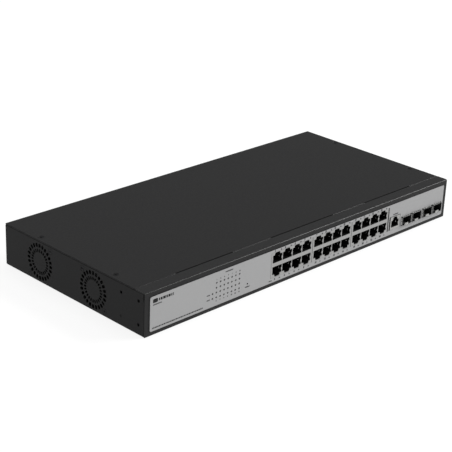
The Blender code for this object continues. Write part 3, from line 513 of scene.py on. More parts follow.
def cut(obj, bm):
    """Cut a bmesh out of an object with an exact Boolean and keep the result."""
    bmesh.ops.recalc_face_normals(bm, faces=bm.faces)
    mesh = to_mesh("tool", bm)
    tool = link_object("tool", mesh)
    modifier = obj.modifiers.new("cut", "BOOLEAN")
    modifier.operation = "DIFFERENCE"
    modifier.solver = "EXACT"
    modifier.object = tool
    uncut = obj.data
    result = evaluated_mesh(obj)
    obj.modifiers.clear()
    obj.data = result
    bpy.data.meshes.remove(uncut)
    bpy.data.objects.remove(tool)
    bpy.data.meshes.remove(mesh)
    shade(result, SMOOTH_ANGLE)


PLANES = {
    "front": Matrix(((1, 0, 0, 0), (0, 0, -1, 0), (0, 1, 0, 0), (0, 0, 0, 1))),
    "side": Matrix(((0, 0, 1, 0), (1, 0, 0, 0), (0, 1, 0, 0), (0, 0, 0, 1))),
}


def plate_mesh(outline, holes, thickness, edge, plane, position):
    """A flat sheet with holes whose edges are all slightly rounded.

    position is its front face in the front plane, and its middle in the side plane.
    """
    curve = bpy.data.curves.new("plate", "CURVE")
    curve.dimensions = "2D"
    curve.fill_mode = "BOTH"
    curve.extrude = (thickness / 2 - edge) * MM
    curve.bevel_depth = edge * MM
    curve.bevel_resolution = 1
    curve.offset = -edge * MM
    for loop in [outline, *holes]:
        spline = curve.splines.new("POLY")
        spline.points.add(len(loop) - 1)
        spline.use_cyclic_u = True
        for point, (a, b) in zip(spline.points, loop):
            point.co = (a * MM, b * MM, 0, 1)
    mesh = curve_mesh(curve)
    middle = {"front": (0, position + thickness / 2, 0), "side": (position, 0, 0)}[plane]
    mesh.transform(Matrix.Translation(Vector(middle) * MM) @ PLANES[plane])
    bm = bmesh.new()
    bm.from_mesh(mesh)
    bpy.data.meshes.remove(mesh)
    bmesh.ops.remove_doubles(bm, verts=bm.verts, dist=0.002 * MM)
    return bm


def merge(target, source):
    """Add one bmesh to another."""
    mesh = to_mesh("merge", source)
    target.from_mesh(mesh)
    bpy.data.meshes.remove(mesh)


def sheet_profile(path, thickness, bends, flip=1):
    """Closed outline of a bent sheet. path is its outer face, and the thickness goes to its left.

    bends holds the outer radius at each point of the path.
    """
    outer = round_corners(path, bends, steps=6, closed=False)
    inner_path = []
    points = [Vector(point) for point in path]
    for index, point in enumerate(points):
        normals = []
        for a, b in ((index - 1, index), (index, index + 1)):
            if a >= 0 and b < len(points):
                along = (points[b] - points[a]).normalized()
                normals.append(Vector((-along.y, along.x)) * flip)
        offset = normals[0] if len(normals) == 1 else normals[0] + normals[1]
        inner_path.append(point + offset * thickness)
    inner_bends = [max(bend - thickness, 0.15) for bend in bends]
    inner = round_corners([tuple(point) for point in inner_path], inner_bends, closed=False)
    return outer + inner[::-1]


def tube(bm, points, radius, sides=6):
    """Sweep a round wire through a list of points."""
    path = [Vector(point) * MM for point in points]
    rings = []
    for index, point in enumerate(path):
        ahead = path[min(index + 1, len(path) - 1)] - path[max(index - 1, 0)]
        turn = ahead.to_track_quat("Z", "Y").to_matrix()
        ring = []
        for side in range(sides):
            angle = math.tau * side / sides
            spoke = Vector((math.cos(angle), math.sin(angle), 0))
            ring.append(bm.verts.new(point + turn @ spoke * radius * MM))
        rings.append(ring)
    for first, second in zip(rings, rings[1:]):
        for side in range(sides):
            other = (side + 1) % sides
            bm.faces.new((first[side], first[other], second[other], second[side]))
    bm.faces.new(rings[0][::-1])
    bm.faces.new(rings[-1])


# ---- sheet metal

def gloss_folds(obj):
    """Give folds and broken edges the smoother coat that flows together there."""
    obj.data.materials.append(POWDER_FOLD)
    for face in obj.data.polygons:
        oblique = max(abs(component) for component in face.normal) < 0.9
        if oblique and face.normal.z > 0 and face.area > 3 * MM * MM:
            face.material_index = 1


def grille_cutters(bm):
    """Radial slots of both fan grilles in the left wall."""
    for fan in ("rear_fan_frame", "front_fan_frame"):
        centre = centre_of(fan).yz
        for inner, outer, width in GRILLE_RINGS:
            for slot in range(GRILLE_SLOTS):
                angle = math.tau * slot / GRILLE_SLOTS
                outline = rounded_slot(inner, outer, width, angle, centre)
                add_prism(bm, outline, "X", BASE_LOW.x - 1, BASE_LOW.x + BASE_SHEET + 1)


def outlet_cutters(bm):
    """Row of upright air slots in the right wall."""
    middle_z = centre_of("rear_fan_frame").z
    width, height = OUTLET_SLOT
    for slot in range(OUTLET_SLOTS):
        y = OUTLET_FIRST_Y + OUTLET_PITCH * slot
        outline = round_corners(rectangle((y - width / 2, middle_z - height / 2),
                                          (y + width / 2, middle_z + height / 2)), width / 2 * 0.99)
        add_prism(bm, outline, "X", BASE_HIGH.x - BASE_SHEET - 1, BASE_HIGH.x + 1)


def ear_hole_cutters(bm):
    """Rack ear holes and the shallow locating dimple in both side walls."""
    for wall, inward in ((BASE_LOW.x, 1), (BASE_HIGH.x, -1)):
        for y, z in EAR_HOLES:
            add_rod(bm, (wall - inward, y, z), (inward, 0, 0), EAR_HOLE_RADIUS, 3, 20)
        add_rod(bm, (wall - inward, *EAR_DIMPLE), (inward, 0, 0), EAR_HOLE_RADIUS + 0.4,
                1 + EAR_DIMPLE_DEPTH, 20, end_radius=EAR_HOLE_RADIUS - 0.4)


def build_chassis():
    """Folded base: a U of bottom and side walls with top flanges."""
    left = BASE_LOW.x
    right = BASE_HIGH.x
    top = BASE_HIGH.z
    front = BASE_LOW.y
    path = [(left + FLANGE_WIDTH, top), (left, top), (left, 0), (right, 0), (right, top),
            (right - FLANGE_WIDTH, top)]
    profile = sheet_profile(path, BASE_SHEET, [TIGHT_BEND] * len(path))
    bm = bmesh.new()
    add_prism(bm, profile, "Y", front, BASE_HIGH.y - BASE_SHEET - WALL_SEAM)
    base = finish_mesh("chassis_shell", bm, POWDER)

    tools = bmesh.new()
    grille_cutters(tools)
    outlet_cutters(tools)
    ear_hole_cutters(tools)
    for number in range(1, 5):
        screw = centre_of(f"fan_screw_{number}")
        add_rod(tools, (left - 0.1, screw.y, screw.z), (1, 0, 0), FAN_COUNTERSINK,
                BASE_SHEET + 0.2, 24, end_radius=SMALL_SCREW_HOLE)
        screw = centre_of(f"cover_screw_{number}")
        add_rod(tools, (screw.x, screw.y, top - 4), (0, 0, 1), SMALL_SCREW_HOLE, 6, 20)
    add_box(tools, (left + BASE_SHEET, front - 1, -1),
            (right - BASE_SHEET, PANEL_LOW.y + 10, BASE_SHEET + 1))
    for side in (-1, 1):
        add_box(tools, (side * (right + 1), front - 1, 35),
                (side * (right - BASE_SHEET - 0.2), front + 0.8, top + 1))
    cut(base, tools)
    gloss_folds(base)
    piece(base, "coated_steel", "chassis_base")


def build_ear_nuts():
    """A pressed nut behind every rack ear hole."""
    outer, bore, thickness = EAR_NUT
    bm = bmesh.new()
    for wall, inward in ((BASE_LOW.x, 1), (BASE_HIGH.x, -1)):
        middle = wall + inward * (BASE_SHEET + thickness / 2 + 0.05)
        for y, z in EAR_HOLES:
            merge(bm, plate_mesh(circle(y, z, outer, 24), [circle(y, z, bore, 16)], thickness, 0.1,
                                 "side", middle))
    make_piece("ear_nuts", bm, BLACK_ZINC, "black_zinc")


def build_rear_wall():
    """Rear sheet with its openings for the mains inlet and the screws."""
    outline = round_corners(rectangle((BASE_LOW.x, 0), (BASE_HIGH.x, BASE_HIGH.z)), 0.8)
    opening = rectangle((INLET_LOW.x + 11.0, INLET_LOW.z + 1.0),
                        (INLET_HIGH.x - 11.0, INLET_HIGH.z - 1.0))
    holes = [round_corners(opening, 0.5)]
    for name, radius in (("inlet_screw_1", SMALL_SCREW_HOLE), ("inlet_screw_2", SMALL_SCREW_HOLE),
                         ("ground_screw", GROUND_SCREW_HOLE)):
        screw = centre_of(name)
        holes.append(circle(screw.x, screw.z, radius))
    wall = plate_mesh(outline, holes, BASE_SHEET, EDGE, "front", BASE_HIGH.y - BASE_SHEET)
    make_piece("rear_wall", wall, POWDER, "coated_steel")


def window_outlines(grow):
    """Outlines of the port, console and cage windows and the light and reset holes."""
    outlines = []
    for _, (first, last), (left_gap, right_gap), _, top_gap in JACK_WINDOWS:
        low = low_high(first)[0]
        high = low_high(last)[1]
        outlines.append(rectangle((low.x - left_gap - grow, low.z - FLUSH_GAP - grow),
                                  (high.x + right_gap + grow, high.z + top_gap + grow)))
    for one, two in ((1, 2), (3, 4)):
        low = cage_box(one)[0]
        high = cage_box(two)[1]
        outlines.append(rectangle((low.x - 0.5 - grow, low.z - 0.3 - grow),
                                  (high.x + 0.5 + grow, high.z + 0.3 + grow)))
    outlines = [round_corners(outline, 0.4) for outline in outlines]
    for x, z in led_places():
        outlines.append(circle(x, z, LED_RADIUS + grow, 16))
    outlines.append(circle(RESET_X, RESET_Z, RESET_RADIUS + grow, 16))
    return outlines


def led_places():
    """Places of the lights: a grid, and one more in each of its two lower rows."""
    places = [(x, z) for x in LED_COLUMN_X for z in LED_ROW_Z]
    places += [(EXTRA_LED_X, z) for z in LED_ROW_Z[2:]]
    return places


def build_front_panel():
    """Front sheet bent back into the top lip and the bottom lip, with every window cut."""
    front = PANEL_LOW.y
    path = [(PANEL_HIGH.y, PANEL_HIGH.z), (front, PANEL_HIGH.z), (front, 0.0), (front + 9.4, 0.0)]
    profile = sheet_profile(path, COVER_SHEET, [0, FRONT_BEND, TIGHT_BEND, 0])
    bm = bmesh.new()
    add_prism(bm, profile, "X", PANEL_LOW.x, PANEL_HIGH.x)
    panel = finish_mesh("front_panel_sheet", bm, POWDER_FRONT)
    tools = bmesh.new()
    for outline in window_outlines(0.1):
        add_prism(tools, outline, "Y", front - 1, front + 3)
    for side in (-1, 1):
        add_box(tools, (side * (PANEL_HIGH.x + 1), front + COVER_SHEET + 0.25, -1),
                (side * (PANEL_HIGH.x - BASE_SHEET - 0.3), front + 12, 5))
    cut(panel, tools)
    gloss_folds(panel)
    piece(panel, "coated_steel", "front_panel")


def build_gap_seals():
    """Near-black sheet just under the film behind the gaps around the console jack and modules: painted
    shade in the gaps.
    """
    for name, (first, last), (left_gap, right_gap), inset, top_gap in JACK_WINDOWS:
        low = low_high(first)[0]
        high = low_high(last)[1]
        outline = rectangle((low.x - left_gap, low.z - FLUSH_GAP), (high.x + right_gap, high.z + top_gap))
        hole = rectangle((low.x + inset - 0.03, low.z - 0.03), (high.x + 0.03, high.z + 0.03))
        bm = plate_mesh(outline, [hole], 0.6, 0.02, "front", OVERLAY_LOW.y + 0.12)
        make_piece(name, bm, GAP_SHADE, "black_nylon")


def build_overlay():
    """Silver film with rounded corners and the same windows."""
    outline = round_corners(rectangle((OVERLAY_LOW.x + FILM_INSET, OVERLAY_LOW.z + FILM_INSET / 2),
                                      (OVERLAY_HIGH.x - FILM_INSET, OVERLAY_HIGH.z)), 1.8, steps=6)
    bm = plate_mesh(outline, window_outlines(0.0), FILM_SHEET, 0.05, "front", OVERLAY_LOW.y)
    make_piece("overlay_film", bm, SILVER, "silver_film", "front_overlay")
    glued = front_outline(OVERLAY_LOW, OVERLAY_HIGH, ADHESIVE_INSET, 0)
    backing = plate_mesh(glued, window_outlines(0.15), 0.28, 0.04, "front", OVERLAY_LOW.y + 0.31)
    make_piece("overlay_adhesive", backing, NYLON, "silver_film")


def build_cover():
    """Lid with softly broken edges, countersunk screw holes and three joggled front tabs."""
    low = COVER_HIGH.z - COVER_SHEET
    front = PANEL_HIGH.y + 0.3
    bm = bmesh.new()
    add_box(bm, (COVER_LOW.x, front, low), (COVER_HIGH.x, COVER_HIGH.y, COVER_HIGH.z))
    bmesh.ops.bevel(bm, geom=bm.edges, offset=0.35 * MM, segments=3, affect="EDGES", profile=0.5)
    cover = finish_mesh("cover_sheet", bm, POWDER_COVER)
    tools = bmesh.new()
    for left, right in COVER_TABS:
        outline = round_corners(rectangle((left, front - 1), (right, front + TAB_VALLEY)), [0, 0, 0.4, 0.4])
        add_prism(tools, outline, "Z", low - 1, COVER_HIGH.z + 1)
    for number in range(1, 5):
        screw = centre_of(f"cover_screw_{number}")
        add_rod(tools, (screw.x, screw.y, low - 0.1), (0, 0, 1), SMALL_SCREW_HOLE,
                COVER_SHEET + 0.2, 32, end_radius=COVER_COUNTERSINK)
    cut(cover, tools)
    gloss_folds(cover)
    piece(cover, "coated_steel", "top_cover")
    tab_top = low - 0.3
    path = [(COVER_LOW.y, tab_top), (front + TAB_VALLEY, tab_top), (front + TAB_VALLEY + 0.9, low + 0.9),
            (front + TAB_VALLEY + 1.4, low + 0.9)]
    profile = sheet_profile(path, COVER_SHEET, [0.5] * len(path), flip=-1)
    tabs = bmesh.new()
    for left, right in COVER_TABS:
        add_prism(tabs, profile, "X", left + 0.5, right - 0.5)
    make_piece("cover_tabs", tabs, POWDER_COVER, "coated_steel")


# ---- ports

def port_outline(x, z_range, half_width, latch, latch_up):
    """Mouth of a modular jack with rounded corners and a latch notch.

    latch holds the notch's reach, half widths at its base and tip, and shift across. The lower jacks are
    the upper ones turned upside down, so the shift changes sign.
    """
    reach, base_half, tip_half, shift = latch
    far = z_range[1] if latch_up else z_range[0]
    near = z_range[0] if latch_up else z_range[1]
    tip = far + reach if latch_up else far - reach
    middle = x + shift if latch_up else x - shift
    points = [(x - half_width, near), (x + half_width, near), (x + half_width, far),
              (middle + base_half, far), (middle + tip_half, tip), (middle - tip_half, tip),
              (middle - base_half, far), (x - half_width, far)]
    radii = [0.5, 0.5, 0.5, 0.2, 1.3, 1.3, 0.2, 0.5]
    return round_corners(points, radii)


def port_rows(centre):
    """The eight mouths of a module, as (x, z range, latch up)."""
    for column in PORT_COLUMNS:
        for z_range, latch_up in ((UPPER_PORT_Z, True), (LOWER_PORT_Z, False)):
            yield centre + column * PORT_PITCH, z_range, latch_up


def shield_shell(name, node, mouths, material, inset=0.0):
    """Folded tin shield: a face with its mouths, and top, side and rear walls behind it."""
    low, high = low_high(node)
    low = low + Vector((inset, 0, 0))
    outer = front_outline(low, high, 0.0, 0.4)
    inner = front_outline(low, high, SHIELD_SHEET, 0.2)
    face = plate_mesh(outer, mouths, SHIELD_SHEET, 0.06, "front", low.y)
    walls = bmesh.new()
    start = low.y + SHIELD_SHEET + 0.02
    for outline, reverse in ((outer, False), (inner, True)):
        near = [walls.verts.new(Vector((a, start, b)) * MM) for a, b in outline]
        far = [walls.verts.new(Vector((a, high.y, b)) * MM) for a, b in outline]
        for index in range(len(outline)):
            other = (index + 1) % len(outline)
            corners = (near[index], near[other], far[other], far[index])
            walls.faces.new(corners[::-1] if reverse else corners)
    boundary = [edge for edge in walls.edges if edge.is_boundary]
    bmesh.ops.bridge_loops(walls, edges=[e for e in boundary if e.verts[0].co.y < (start + 1) * MM])
    bmesh.ops.bridge_loops(walls, edges=[e for e in boundary if e.verts[0].co.y > (start + 1) * MM])
    merge(face, walls)
    make_piece(name, face, material, "tinned_steel", node)


def contact_wires(name, mouths, front):
    """Eight sprung gold wires in every mouth, on the side away from the latch, in gold darkened with painted
    shade.
    """
    bm = bmesh.new()
    for x, z_range, latch_up in mouths:
        floor = z_range[0] + 0.35 if latch_up else z_range[1] - 0.35
        lift = 1 if latch_up else -1
        for wire in range(CONTACTS):
            across = x + (wire - (CONTACTS - 1) / 2) * CONTACT_PITCH
            points = [(across, front + 6.0, floor - 0.2 * lift), (across, front + 6.6, floor),
                      (across, front + 8.2, floor + 1.1 * lift), (across, front + 10.4, floor + 2.7 * lift),
                      (across, front + 11.3, floor + 2.9 * lift), (across, front + 12.0, floor + 2.6 * lift)]
            tube(bm, points, CONTACT_RADIUS)
    make_piece(name, bm, SHADED_GOLD, "brass", smooth_angle=50)


def ground_springs(name, mouths, front, half_width):
    """A tin spring on both side walls of every mouth: a lead-in at its front and a raised contact point."""
    bm = bmesh.new()
    for x, z_range, _ in mouths:
        middle = (z_range[0] + z_range[1]) / 2 - SPRING_DROP
        for side in (-1, 1):
            wall = x + side * half_width
            start = (wall, front + SPRING_SETBACK, middle)
            finger(bm, start, "Z", -side, 1.3, 1.2, 0.35)
            lead_in = [(wall + side * 0.1, front + 0.06), (wall - side * 0.4, front + 0.3),
                       (wall - side * 0.4, front + 0.5), (wall + side * 0.1, front + 0.4)][::side]
            add_prism(bm, lead_in, "Z", middle - 1.3, middle + 1.3)
    make_piece(name, bm, SPRING_TIN, "tinned_steel")


def build_ports():
    """Shields, contacts and springs of the three modules and the console jack."""
    latch = (LATCH_REACH, LATCH_BASE_HALF, LATCH_TIP_HALF, LATCH_OFFSET)
    for number in (1, 2, 3):
        front = low_high(f"rj45_shield_{number}")[0].y
        ports = list(port_rows(centre_of(f"rj45_shield_{number}").x))
        mouths = [port_outline(x, z_range, PORT_HALF_WIDTH, latch, up) for x, z_range, up in ports]
        shield_shell(f"port_shield_{number}", f"rj45_shield_{number}", mouths, TIN)
        contact_wires(f"port_contacts_{number}", ports, front)
        ground_springs(f"port_springs_{number}", ports, front, PORT_HALF_WIDTH)
    front = low_high("console_shield")[0].y
    latch = (CONSOLE_LATCH_REACH, CONSOLE_LATCH_BASE_HALF, CONSOLE_LATCH_TIP_HALF, 0.0)
    mouth = port_outline(CONSOLE_PORT_X, CONSOLE_PORT_Z, CONSOLE_PORT_HALF, latch, True)
    shield_shell("console_shield_face", "console_shield", [mouth], BRIGHT_TIN, CONSOLE_INSET)
    console = [(CONSOLE_PORT_X, CONSOLE_PORT_Z, True)]
    contact_wires("console_contacts", console, front)
    ground_springs("console_springs", console, front, CONSOLE_PORT_HALF)


def finger(bm, start, width_axis, sign, width, length, bulge, sheet=0.15):
    """One sprung finger: a thin strip along Y. It is wide along X or Z, and bows along the other."""
    x, y, z = start
    inner = []
    for step in range(FINGER_STEPS + 1):
        t = step / FINGER_STEPS
        inner.append((length * t, bulge * math.sin(math.pi * t)))
    strip = [(along, out + sheet) for along, out in inner] + inner[::-1]
    if width_axis == "X":
        outline = [(y + along, z + sign * out) for along, out in strip]
        middle = x
    else:
        outline = [(x + sign * out, y + along) for along, out in strip]
        middle = z
    add_prism(bm, outline, width_axis, middle - width / 2, middle + width / 2)


def cage_box(number):
    """Corners of a cage's bent sheet, which stands a little back and down from the solid cage's corner."""
    low, high = low_high(f"sfp_cage_{number}")
    return low + Vector((0, CAGE_SETBACK, -CAGE_DROP)), high - Vector((0, 0, CAGE_DROP))


def centred(row):
    """Places of a row of pieces, given as (count, pitch, width), on both sides of zero."""
    count, pitch, _ = row
    return [(index - (count - 1) / 2) * pitch for index in range(count)]


def cage_tongue(x, front, floor):
    """Latch tongue: a rounded tab in the mouth that leans back into the cage."""
    bm = bmesh.new()
    tab = rectangle((x - TONGUE_HALF, floor), (x + TONGUE_HALF, floor + TONGUE_HEIGHT))
    near = front + 0.1 + TONGUE_SHEET
    far = front + TONGUE_REACH
    add_prism(bm, round_corners(tab, [0.2, 0.2, 1.1, 1.1]), "Y", front + 0.1, near)
    ramp = [(near, floor + 0.4), (near, floor + 0.7), (far, floor + 0.4), (far, floor + 0.1)]
    add_prism(bm, ramp, "X", x - TONGUE_HALF + 1.0, x + TONGUE_HALF - 1.0)
    return bm


def cage_liner(low, high):
    """Painted shade inside a cage: a thin dark tube and a back wall."""
    outline = front_outline(low, high, CAGE_SHEET + 0.02, 0.3)
    hole = front_outline(low, high, CAGE_SHEET + 0.1, 0.3)
    bm = plate_mesh(outline, [hole], high.y - low.y - 2.0, 0.03, "front", low.y + 0.15)
    merge(bm, plate_mesh(outline, [], 0.3, 0.05, "front", high.y - 1.0))
    return bm


def cage_fingers(low, high):
    """Rows of sprung fingers along all four sides of a cage, behind its front edge."""
    bm = bmesh.new()
    middle = (low + high) / 2
    start_y = low.y + FINGER_SETBACK
    for slot in centred(TOP_FINGERS):
        for edge, up in ((high.z, 1), (low.z, -1)):
            start = (middle.x + slot, start_y, edge + 0.1 * up)
            finger(bm, start, "X", up, TOP_FINGERS[2], FINGER_LENGTH, 0.05, 0.06)
    for slot in centred(SIDE_FINGERS):
        for edge, side in ((low.x, -1), (high.x, 1)):
            start = (edge + 0.1 * side, start_y, middle.z + slot)
            finger(bm, start, "Z", side, SIDE_FINGERS[2], FINGER_LENGTH, 0.3, 0.12)
    return bm


def build_cages():
    """Cage tubes with EMI fingers, a near-black ring of painted shade around the nose, a dark inside of
    painted shade and a latch tongue.
    """
    for number in (1, 2, 3, 4):
        low, high = cage_box(number)
        outer = front_outline(low, high, 0.0, 0.5)
        inner = front_outline(low, high, CAGE_SHEET, 0.3)
        shell = plate_mesh(outer, [inner], high.y - low.y, 0.12, "front", low.y)
        make_piece(f"cage_shell_{number}", shell, TIN, "tinned_steel", f"sfp_cage_{number}")
        tongue = cage_tongue((low.x + high.x) / 2, low.y, low.z + CAGE_SHEET)
        make_piece(f"cage_tongue_{number}", tongue, BRIGHT_TIN, "tinned_steel")
        # The dark inside is painted shade
        make_piece(f"cage_inside_{number}", cage_liner(low, high), TIN_PAINTED_SHADE, "tinned_steel")
        make_piece(f"cage_fingers_{number}", cage_fingers(low, high), SPRING_TIN, "tinned_steel")
        # Painted shade: a near-black ring around the nose
        nose_shade = plate_mesh(front_outline(low, high, -0.1, 0.5), [outer], 3.0, 0.03, "front", low.y + 0.2)
        make_piece(f"cage_nose_shade_{number}", nose_shade, NOSE_SHADE, "tinned_steel")


# ---- lights, marks

def build_lenses():
    """A low smoked dome in every light hole."""
    bm = bmesh.new()
    squash = Matrix.Diagonal((1, LENS_SQUASH, 1, 1))
    for x, z in led_places():
        place = Matrix.Translation(Vector((x, OVERLAY_LOW.y + FILM_SHEET, z)) * MM)
        bmesh.ops.create_uvsphere(bm, u_segments=16, v_segments=10, radius=LENS_RADIUS * MM,
                                  matrix=place @ squash)
    make_piece("indicator_lenses", bm, LENS, "clear_acrylic", smooth_angle=60)


def mark_plate(name, outlines, material=INK_GREY):
    """Printed shapes: thin raised ink on the film."""
    bm = bmesh.new()
    for outline in outlines:
        add_prism(bm, outline, "Y", OVERLAY_LOW.y - INK_HEIGHT, OVERLAY_LOW.y + INK_HEIGHT)
    make_piece(name, bm, material, "silver_film")


def numerals_piece(name, entries, size):
    """Many printed numbers as one piece. entries are (text, x, z), centred there."""
    bm = bmesh.new()
    for text, x, z in entries:
        curve = bpy.data.curves.new(f"number_{text}", "FONT")
        curve.body = text
        curve.size = size * MM
        curve.align_x = "CENTER"
        curve.align_y = "CENTER"
        curve.extrude = 0.01 * MM
        curve.offset = size * NUMBER_WEIGHT * MM
        curve.resolution_u = 3
        mesh = curve_mesh(curve)
        place = Matrix.Translation(Vector((x, OVERLAY_LOW.y - 0.012, z)) * MM)
        mesh.transform(place @ PLANES["front"])
        bm.from_mesh(mesh)
        bpy.data.meshes.remove(mesh)
    make_piece(name, bm, INK_GREY, "silver_film")


def dashes(left, right, z, height, dash, gap):
    """A row of small blocks that stands for a line of small print."""
    outlines = []
    x = left
    index = 0
    while x < right:
        width = dash * (0.6 + 0.8 * ((index * 7) % 5) / 4)
        end = min(x + width, right)
        outlines.append(rectangle((x, z - height / 2), (end, z + height / 2)))
        x = end + gap
        index += 1
    return outlines


def build_marks():
    """Generic print: port numbers, direction triangles, light numbers and plain bars for wording."""
    entries = []
    triangles = []
    for number in (1, 2, 3):
        centre = centre_of(f"rj45_shield_{number}")
        for index, column in enumerate(PORT_COLUMNS):
            x = centre.x + column * PORT_PITCH
            port = 8 * (number - 1) + 2 * index + 1
            entries.append((str(port), x - 3.6, 37.1))
            entries.append((str(port + 1), x - 2.7, 7.1))
            for across, z, up in ((4.8, 36.5, -1), (4.0, 7.1, 1)):
                middle = x + across
                base = z - 0.8 * up
                triangle = [(middle - 1.1, base), (middle + 1.1, base), (middle, z + 0.9 * up)]
                triangles.append(triangle[::up])
    numerals_piece("port_numbers", entries, PORT_NUMBER_SIZE)
    mark_plate("port_triangles", triangles)
    lights = [(str(2 * index + 1), x, 31.0) for index, x in enumerate(LED_COLUMN_X)]
    lights += [(str(2 * index + 2), x, 9.2) for index, x in enumerate(LED_COLUMN_X)]
    numerals_piece("light_numbers", lights, LIGHT_NUMBER_SIZE)
    bars = []
    for line in PRINT_LINES:
        bars += dashes(*line)
    mark_plate("print_bars", bars)
    badge = [round_corners(rectangle(*BADGE_BLOCK), BADGE_CORNER)]
    badge += dashes(*BADGE_LINE)
    mark_plate("print_badge", badge, INK)


# ---- rear

def build_inlet_blades():
    """Three plated blades in the mains socket."""
    inlet = centre_of("ac_inlet")
    bm = bmesh.new()
    for across, up in ((-7.0, -2.0), (0.0, 2.0), (7.0, -2.0)):
        low = Vector((inlet.x + across - 1.0, INLET_HIGH.y - 16.0, inlet.z + up - 2.0))
        high = Vector((inlet.x + across + 1.0, INLET_HIGH.y - 2.0, inlet.z + up + 2.0))
        verts = add_box(bm, low, high)
        edges = {edge for vert in verts for edge in vert.link_edges}
        bmesh.ops.bevel(bm, geom=list(edges), offset=0.4 * MM, segments=2, affect="EDGES")
    make_piece("inlet_blades", bm, NICKEL, "nickel")


def build_ground_mark():
    """The usual ground symbol above the ground screw."""
    x = centre_of("ground_screw").x
    z = low_high("ground_screw")[1].z + 4.2
    near = BASE_HIGH.y - 0.01
    far = BASE_HIGH.y + 0.03
    line = 0.18
    bm = bmesh.new()
    for half, offset in ((2.0, 0.0), (1.3, -0.9), (0.6, -1.8)):
        add_box(bm, (x - half, near, z + offset - line), (x + half, far, z + offset + line))
    add_box(bm, (x - line, near, z + 0.2), (x + line, far, z + 2.2))
    make_piece("ground_mark", bm, INK_LIGHT, "coated_steel")


# ---- fans

def build_hub_labels():
    """A plain foil label on each fan's hub, which turns with the rotor."""
    for fan in ("rear", "front"):
        hub = centre_of(f"{fan}_fan_frame")
        middle = low_high(f"{fan}_fan_rotor")[0].x - LABEL_SHEET / 2 - 0.01
        bm = bmesh.new()
        for inner, outer in LABEL_RINGS:
            hole = [circle(hub.y, hub.z, inner, 40)] if inner else []
            merge(bm, plate_mesh(circle(hub.y, hub.z, outer, 48), hole, LABEL_SHEET, 0.02, "side", middle))
        make_piece(f"{fan}_fan_label", bm, FOIL, "black_pbt", body=f"{fan}_fan")


# ---- CAD nodes that stay

def keep(names, material, edge=0.0):
    """Give carried-over CAD nodes a material and softly broken edges."""
    for name in names:
        obj = nodes[name]
        obj.data.materials.clear()
        obj.data.materials.append(material)
        if edge:
            weld = obj.modifiers.new("weld", "WELD")
            weld.merge_threshold = 0.002 * MM
            bevel = obj.modifiers.new("edge", "BEVEL")
            bevel.width = edge * MM
            bevel.segments = 2
            bevel.limit_method = "ANGLE"
            bevel.angle_limit = math.radians(40)


def numbered(stem, count):
    return [f"{stem}_{index}" for index in range(1, count + 1)]


def finish_cad_nodes():
    screws = numbered("cover_screw", 4) + numbered("fan_screw", 4) + numbered("inlet_screw", 2)
    keep(screws, BLACK_ZINC, 0.08)
    keep(["ground_screw"], NICKEL, 0.1)
    keep(numbered("rj45_housing", 3) + ["console_housing"] + numbered("sfp_connector", 4), NYLON)
    keep(["ac_inlet"], NYLON, 0.3)
    keep(["rear_fan_frame", "front_fan_frame"], NYLON, 0.25)
    keep(["rear_fan_rotor", "front_fan_rotor"], PBT, 0.15)
    keep(["rear_fan_stator", "front_fan_stator"], COPPER, 0.15)
    keep(["reset_switch"], NYLON, 0.15)
    keep(["reset_button", "pcb_power_header", "psu_output_header"], WHITE_NYLON, 0.2)
    keep(["led_light_pipe"], LENS)
    keep(["main_pcb"], GREEN, 0.1)
    keep(["psu_board"], TAN, 0.1)
    keep(numbered("pcb_standoff", 4), BRASS, 0.2)
    keep(["switch_chip", *numbered("phy_chip", 3)], EPOXY, 0.15)
    keep(["switch_heatsink", "psu_heatsink"], ANODISED, 0.15)
    keep(["psu_transformer", "psu_choke"], FERRITE, 0.6)
    keep(["psu_bulk_capacitor"], SLEEVE, 0.8)
    keep(["dc_lead"], JACKET)


# ---- stage, light and camera

FLOOR_ALBEDO = (0.17, 0.17, 0.17)
FLOOR_GLOW = 0.84
FLOOR_SIZE = 30.0
FLOOR_DROP = 0.0002
SKY_BELOW = (1.0, 1.0, 1.0, 1.0)
SKY_HORIZON = (0.25, 0.25, 0.25, 1.0)
SKY_ABOVE = (0.4, 0.4, 0.4, 1.0)


def build_stage():
    """Plain pale floor, and a soft grey studio all round."""
    bm = bmesh.new()
    bmesh.ops.create_grid(bm, x_segments=1, y_segments=1, size=FLOOR_SIZE)
    mesh = to_mesh("floor", bm)
    floor = link_object("floor", mesh)
    floor.location.z = -FLOOR_DROP
    shader = Shader("floor", FLOOR_ALBEDO, 0.8)
    shader.set("Specular IOR Level", 0.1)
    shader.set("Emission Color", (1.0, 1.0, 1.0, 1.0))
    shader.set("Emission Strength", FLOOR_GLOW)
    mesh.materials.append(shader.material)

    world = bpy.data.worlds.new("studio")
    bpy.context.scene.world = world
    world.use_nodes = True
    tree = world.node_tree
    coordinates = tree.nodes.new("ShaderNodeTexCoord")
    split = tree.nodes.new("ShaderNodeSeparateXYZ")
    ramp = tree.nodes.new("ShaderNodeValToRGB")
    ramp.color_ramp.elements[0].color = SKY_BELOW
    ramp.color_ramp.elements[1].color = SKY_ABOVE
    ramp.color_ramp.elements.new(0.2).color = SKY_HORIZON
    tree.links.new(coordinates.outputs["Generated"], split.inputs["Vector"])
    tree.links.new(split.outputs["Z"], ramp.inputs["Fac"])
    tree.links.new(ramp.outputs["Color"], tree.nodes["Background"].inputs["Color"])


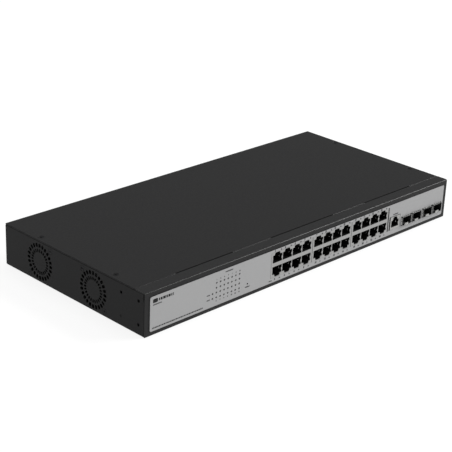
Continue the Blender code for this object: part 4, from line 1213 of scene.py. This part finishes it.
def area_light(name, direction, distance, size, power):
    """A soft light that stands in a direction from the object and faces it."""
    light = bpy.data.lights.new(name, "AREA")
    light.shape = "RECTANGLE"
    light.size = size[0]
    light.size_y = size[1]
    light.energy = power
    obj = link_object(name, light)
    place = Vector(direction).normalized() * distance
    obj.location = place
    obj.rotation_euler = (-place).to_track_quat("-Z", "Y").to_euler()


CAMERA_AZIMUTH = math.radians(-45.73)
CAMERA_ELEVATION = math.radians(23.11)
CAMERA_ROLL = math.radians(2.42)
CAMERA_DISTANCE = 1.361
CAMERA_TARGET = Vector((-0.0172, 0.0, 0.0184))
CAMERA_LENS = 105.0
IMAGE_WIDTH = 452
CAMERA_SHIFT = (-0.5 / IMAGE_WIDTH, 0.62 / IMAGE_WIDTH)


def build_camera():
    """Camera at the photograph's angle. Its axes come from azimuth, elevation and roll."""
    a = CAMERA_AZIMUTH
    e = CAMERA_ELEVATION
    back = Vector((math.sin(a) * math.cos(e), -math.cos(a) * math.cos(e), math.sin(e)))
    right = Vector((0, 0, 1)).cross(back).normalized()
    axes = Matrix((right, back.cross(right), back)).transposed() @ Matrix.Rotation(CAMERA_ROLL, 3, "Z")
    camera = bpy.data.cameras.new("camera")
    camera.lens = CAMERA_LENS
    camera.sensor_width = 36.0
    camera.clip_start = 0.05
    camera.shift_x, camera.shift_y = CAMERA_SHIFT
    obj = link_object("camera", camera)
    obj.matrix_world = Matrix.Translation(CAMERA_TARGET + back * CAMERA_DISTANCE) @ axes.to_4x4()
    bpy.context.scene.camera = obj


build_camera()
build_stage()
area_light("key", (0.72, -0.38, 0.58), 10.0, (4.8, 3.2), 880.0)
area_light("overhead", (0.0, 0.2, 1.0), 3.2, (2.8, 2.4), 50.0)
bpy.context.scene.view_settings.view_transform = "Standard"
build_chassis()
build_ear_nuts()
build_rear_wall()
build_front_panel()
build_overlay()
build_gap_seals()
build_cover()
build_ports()
build_cages()
build_lenses()
build_marks()
build_inlet_blades()
build_ground_mark()
build_hub_labels()
finish_cad_nodes()
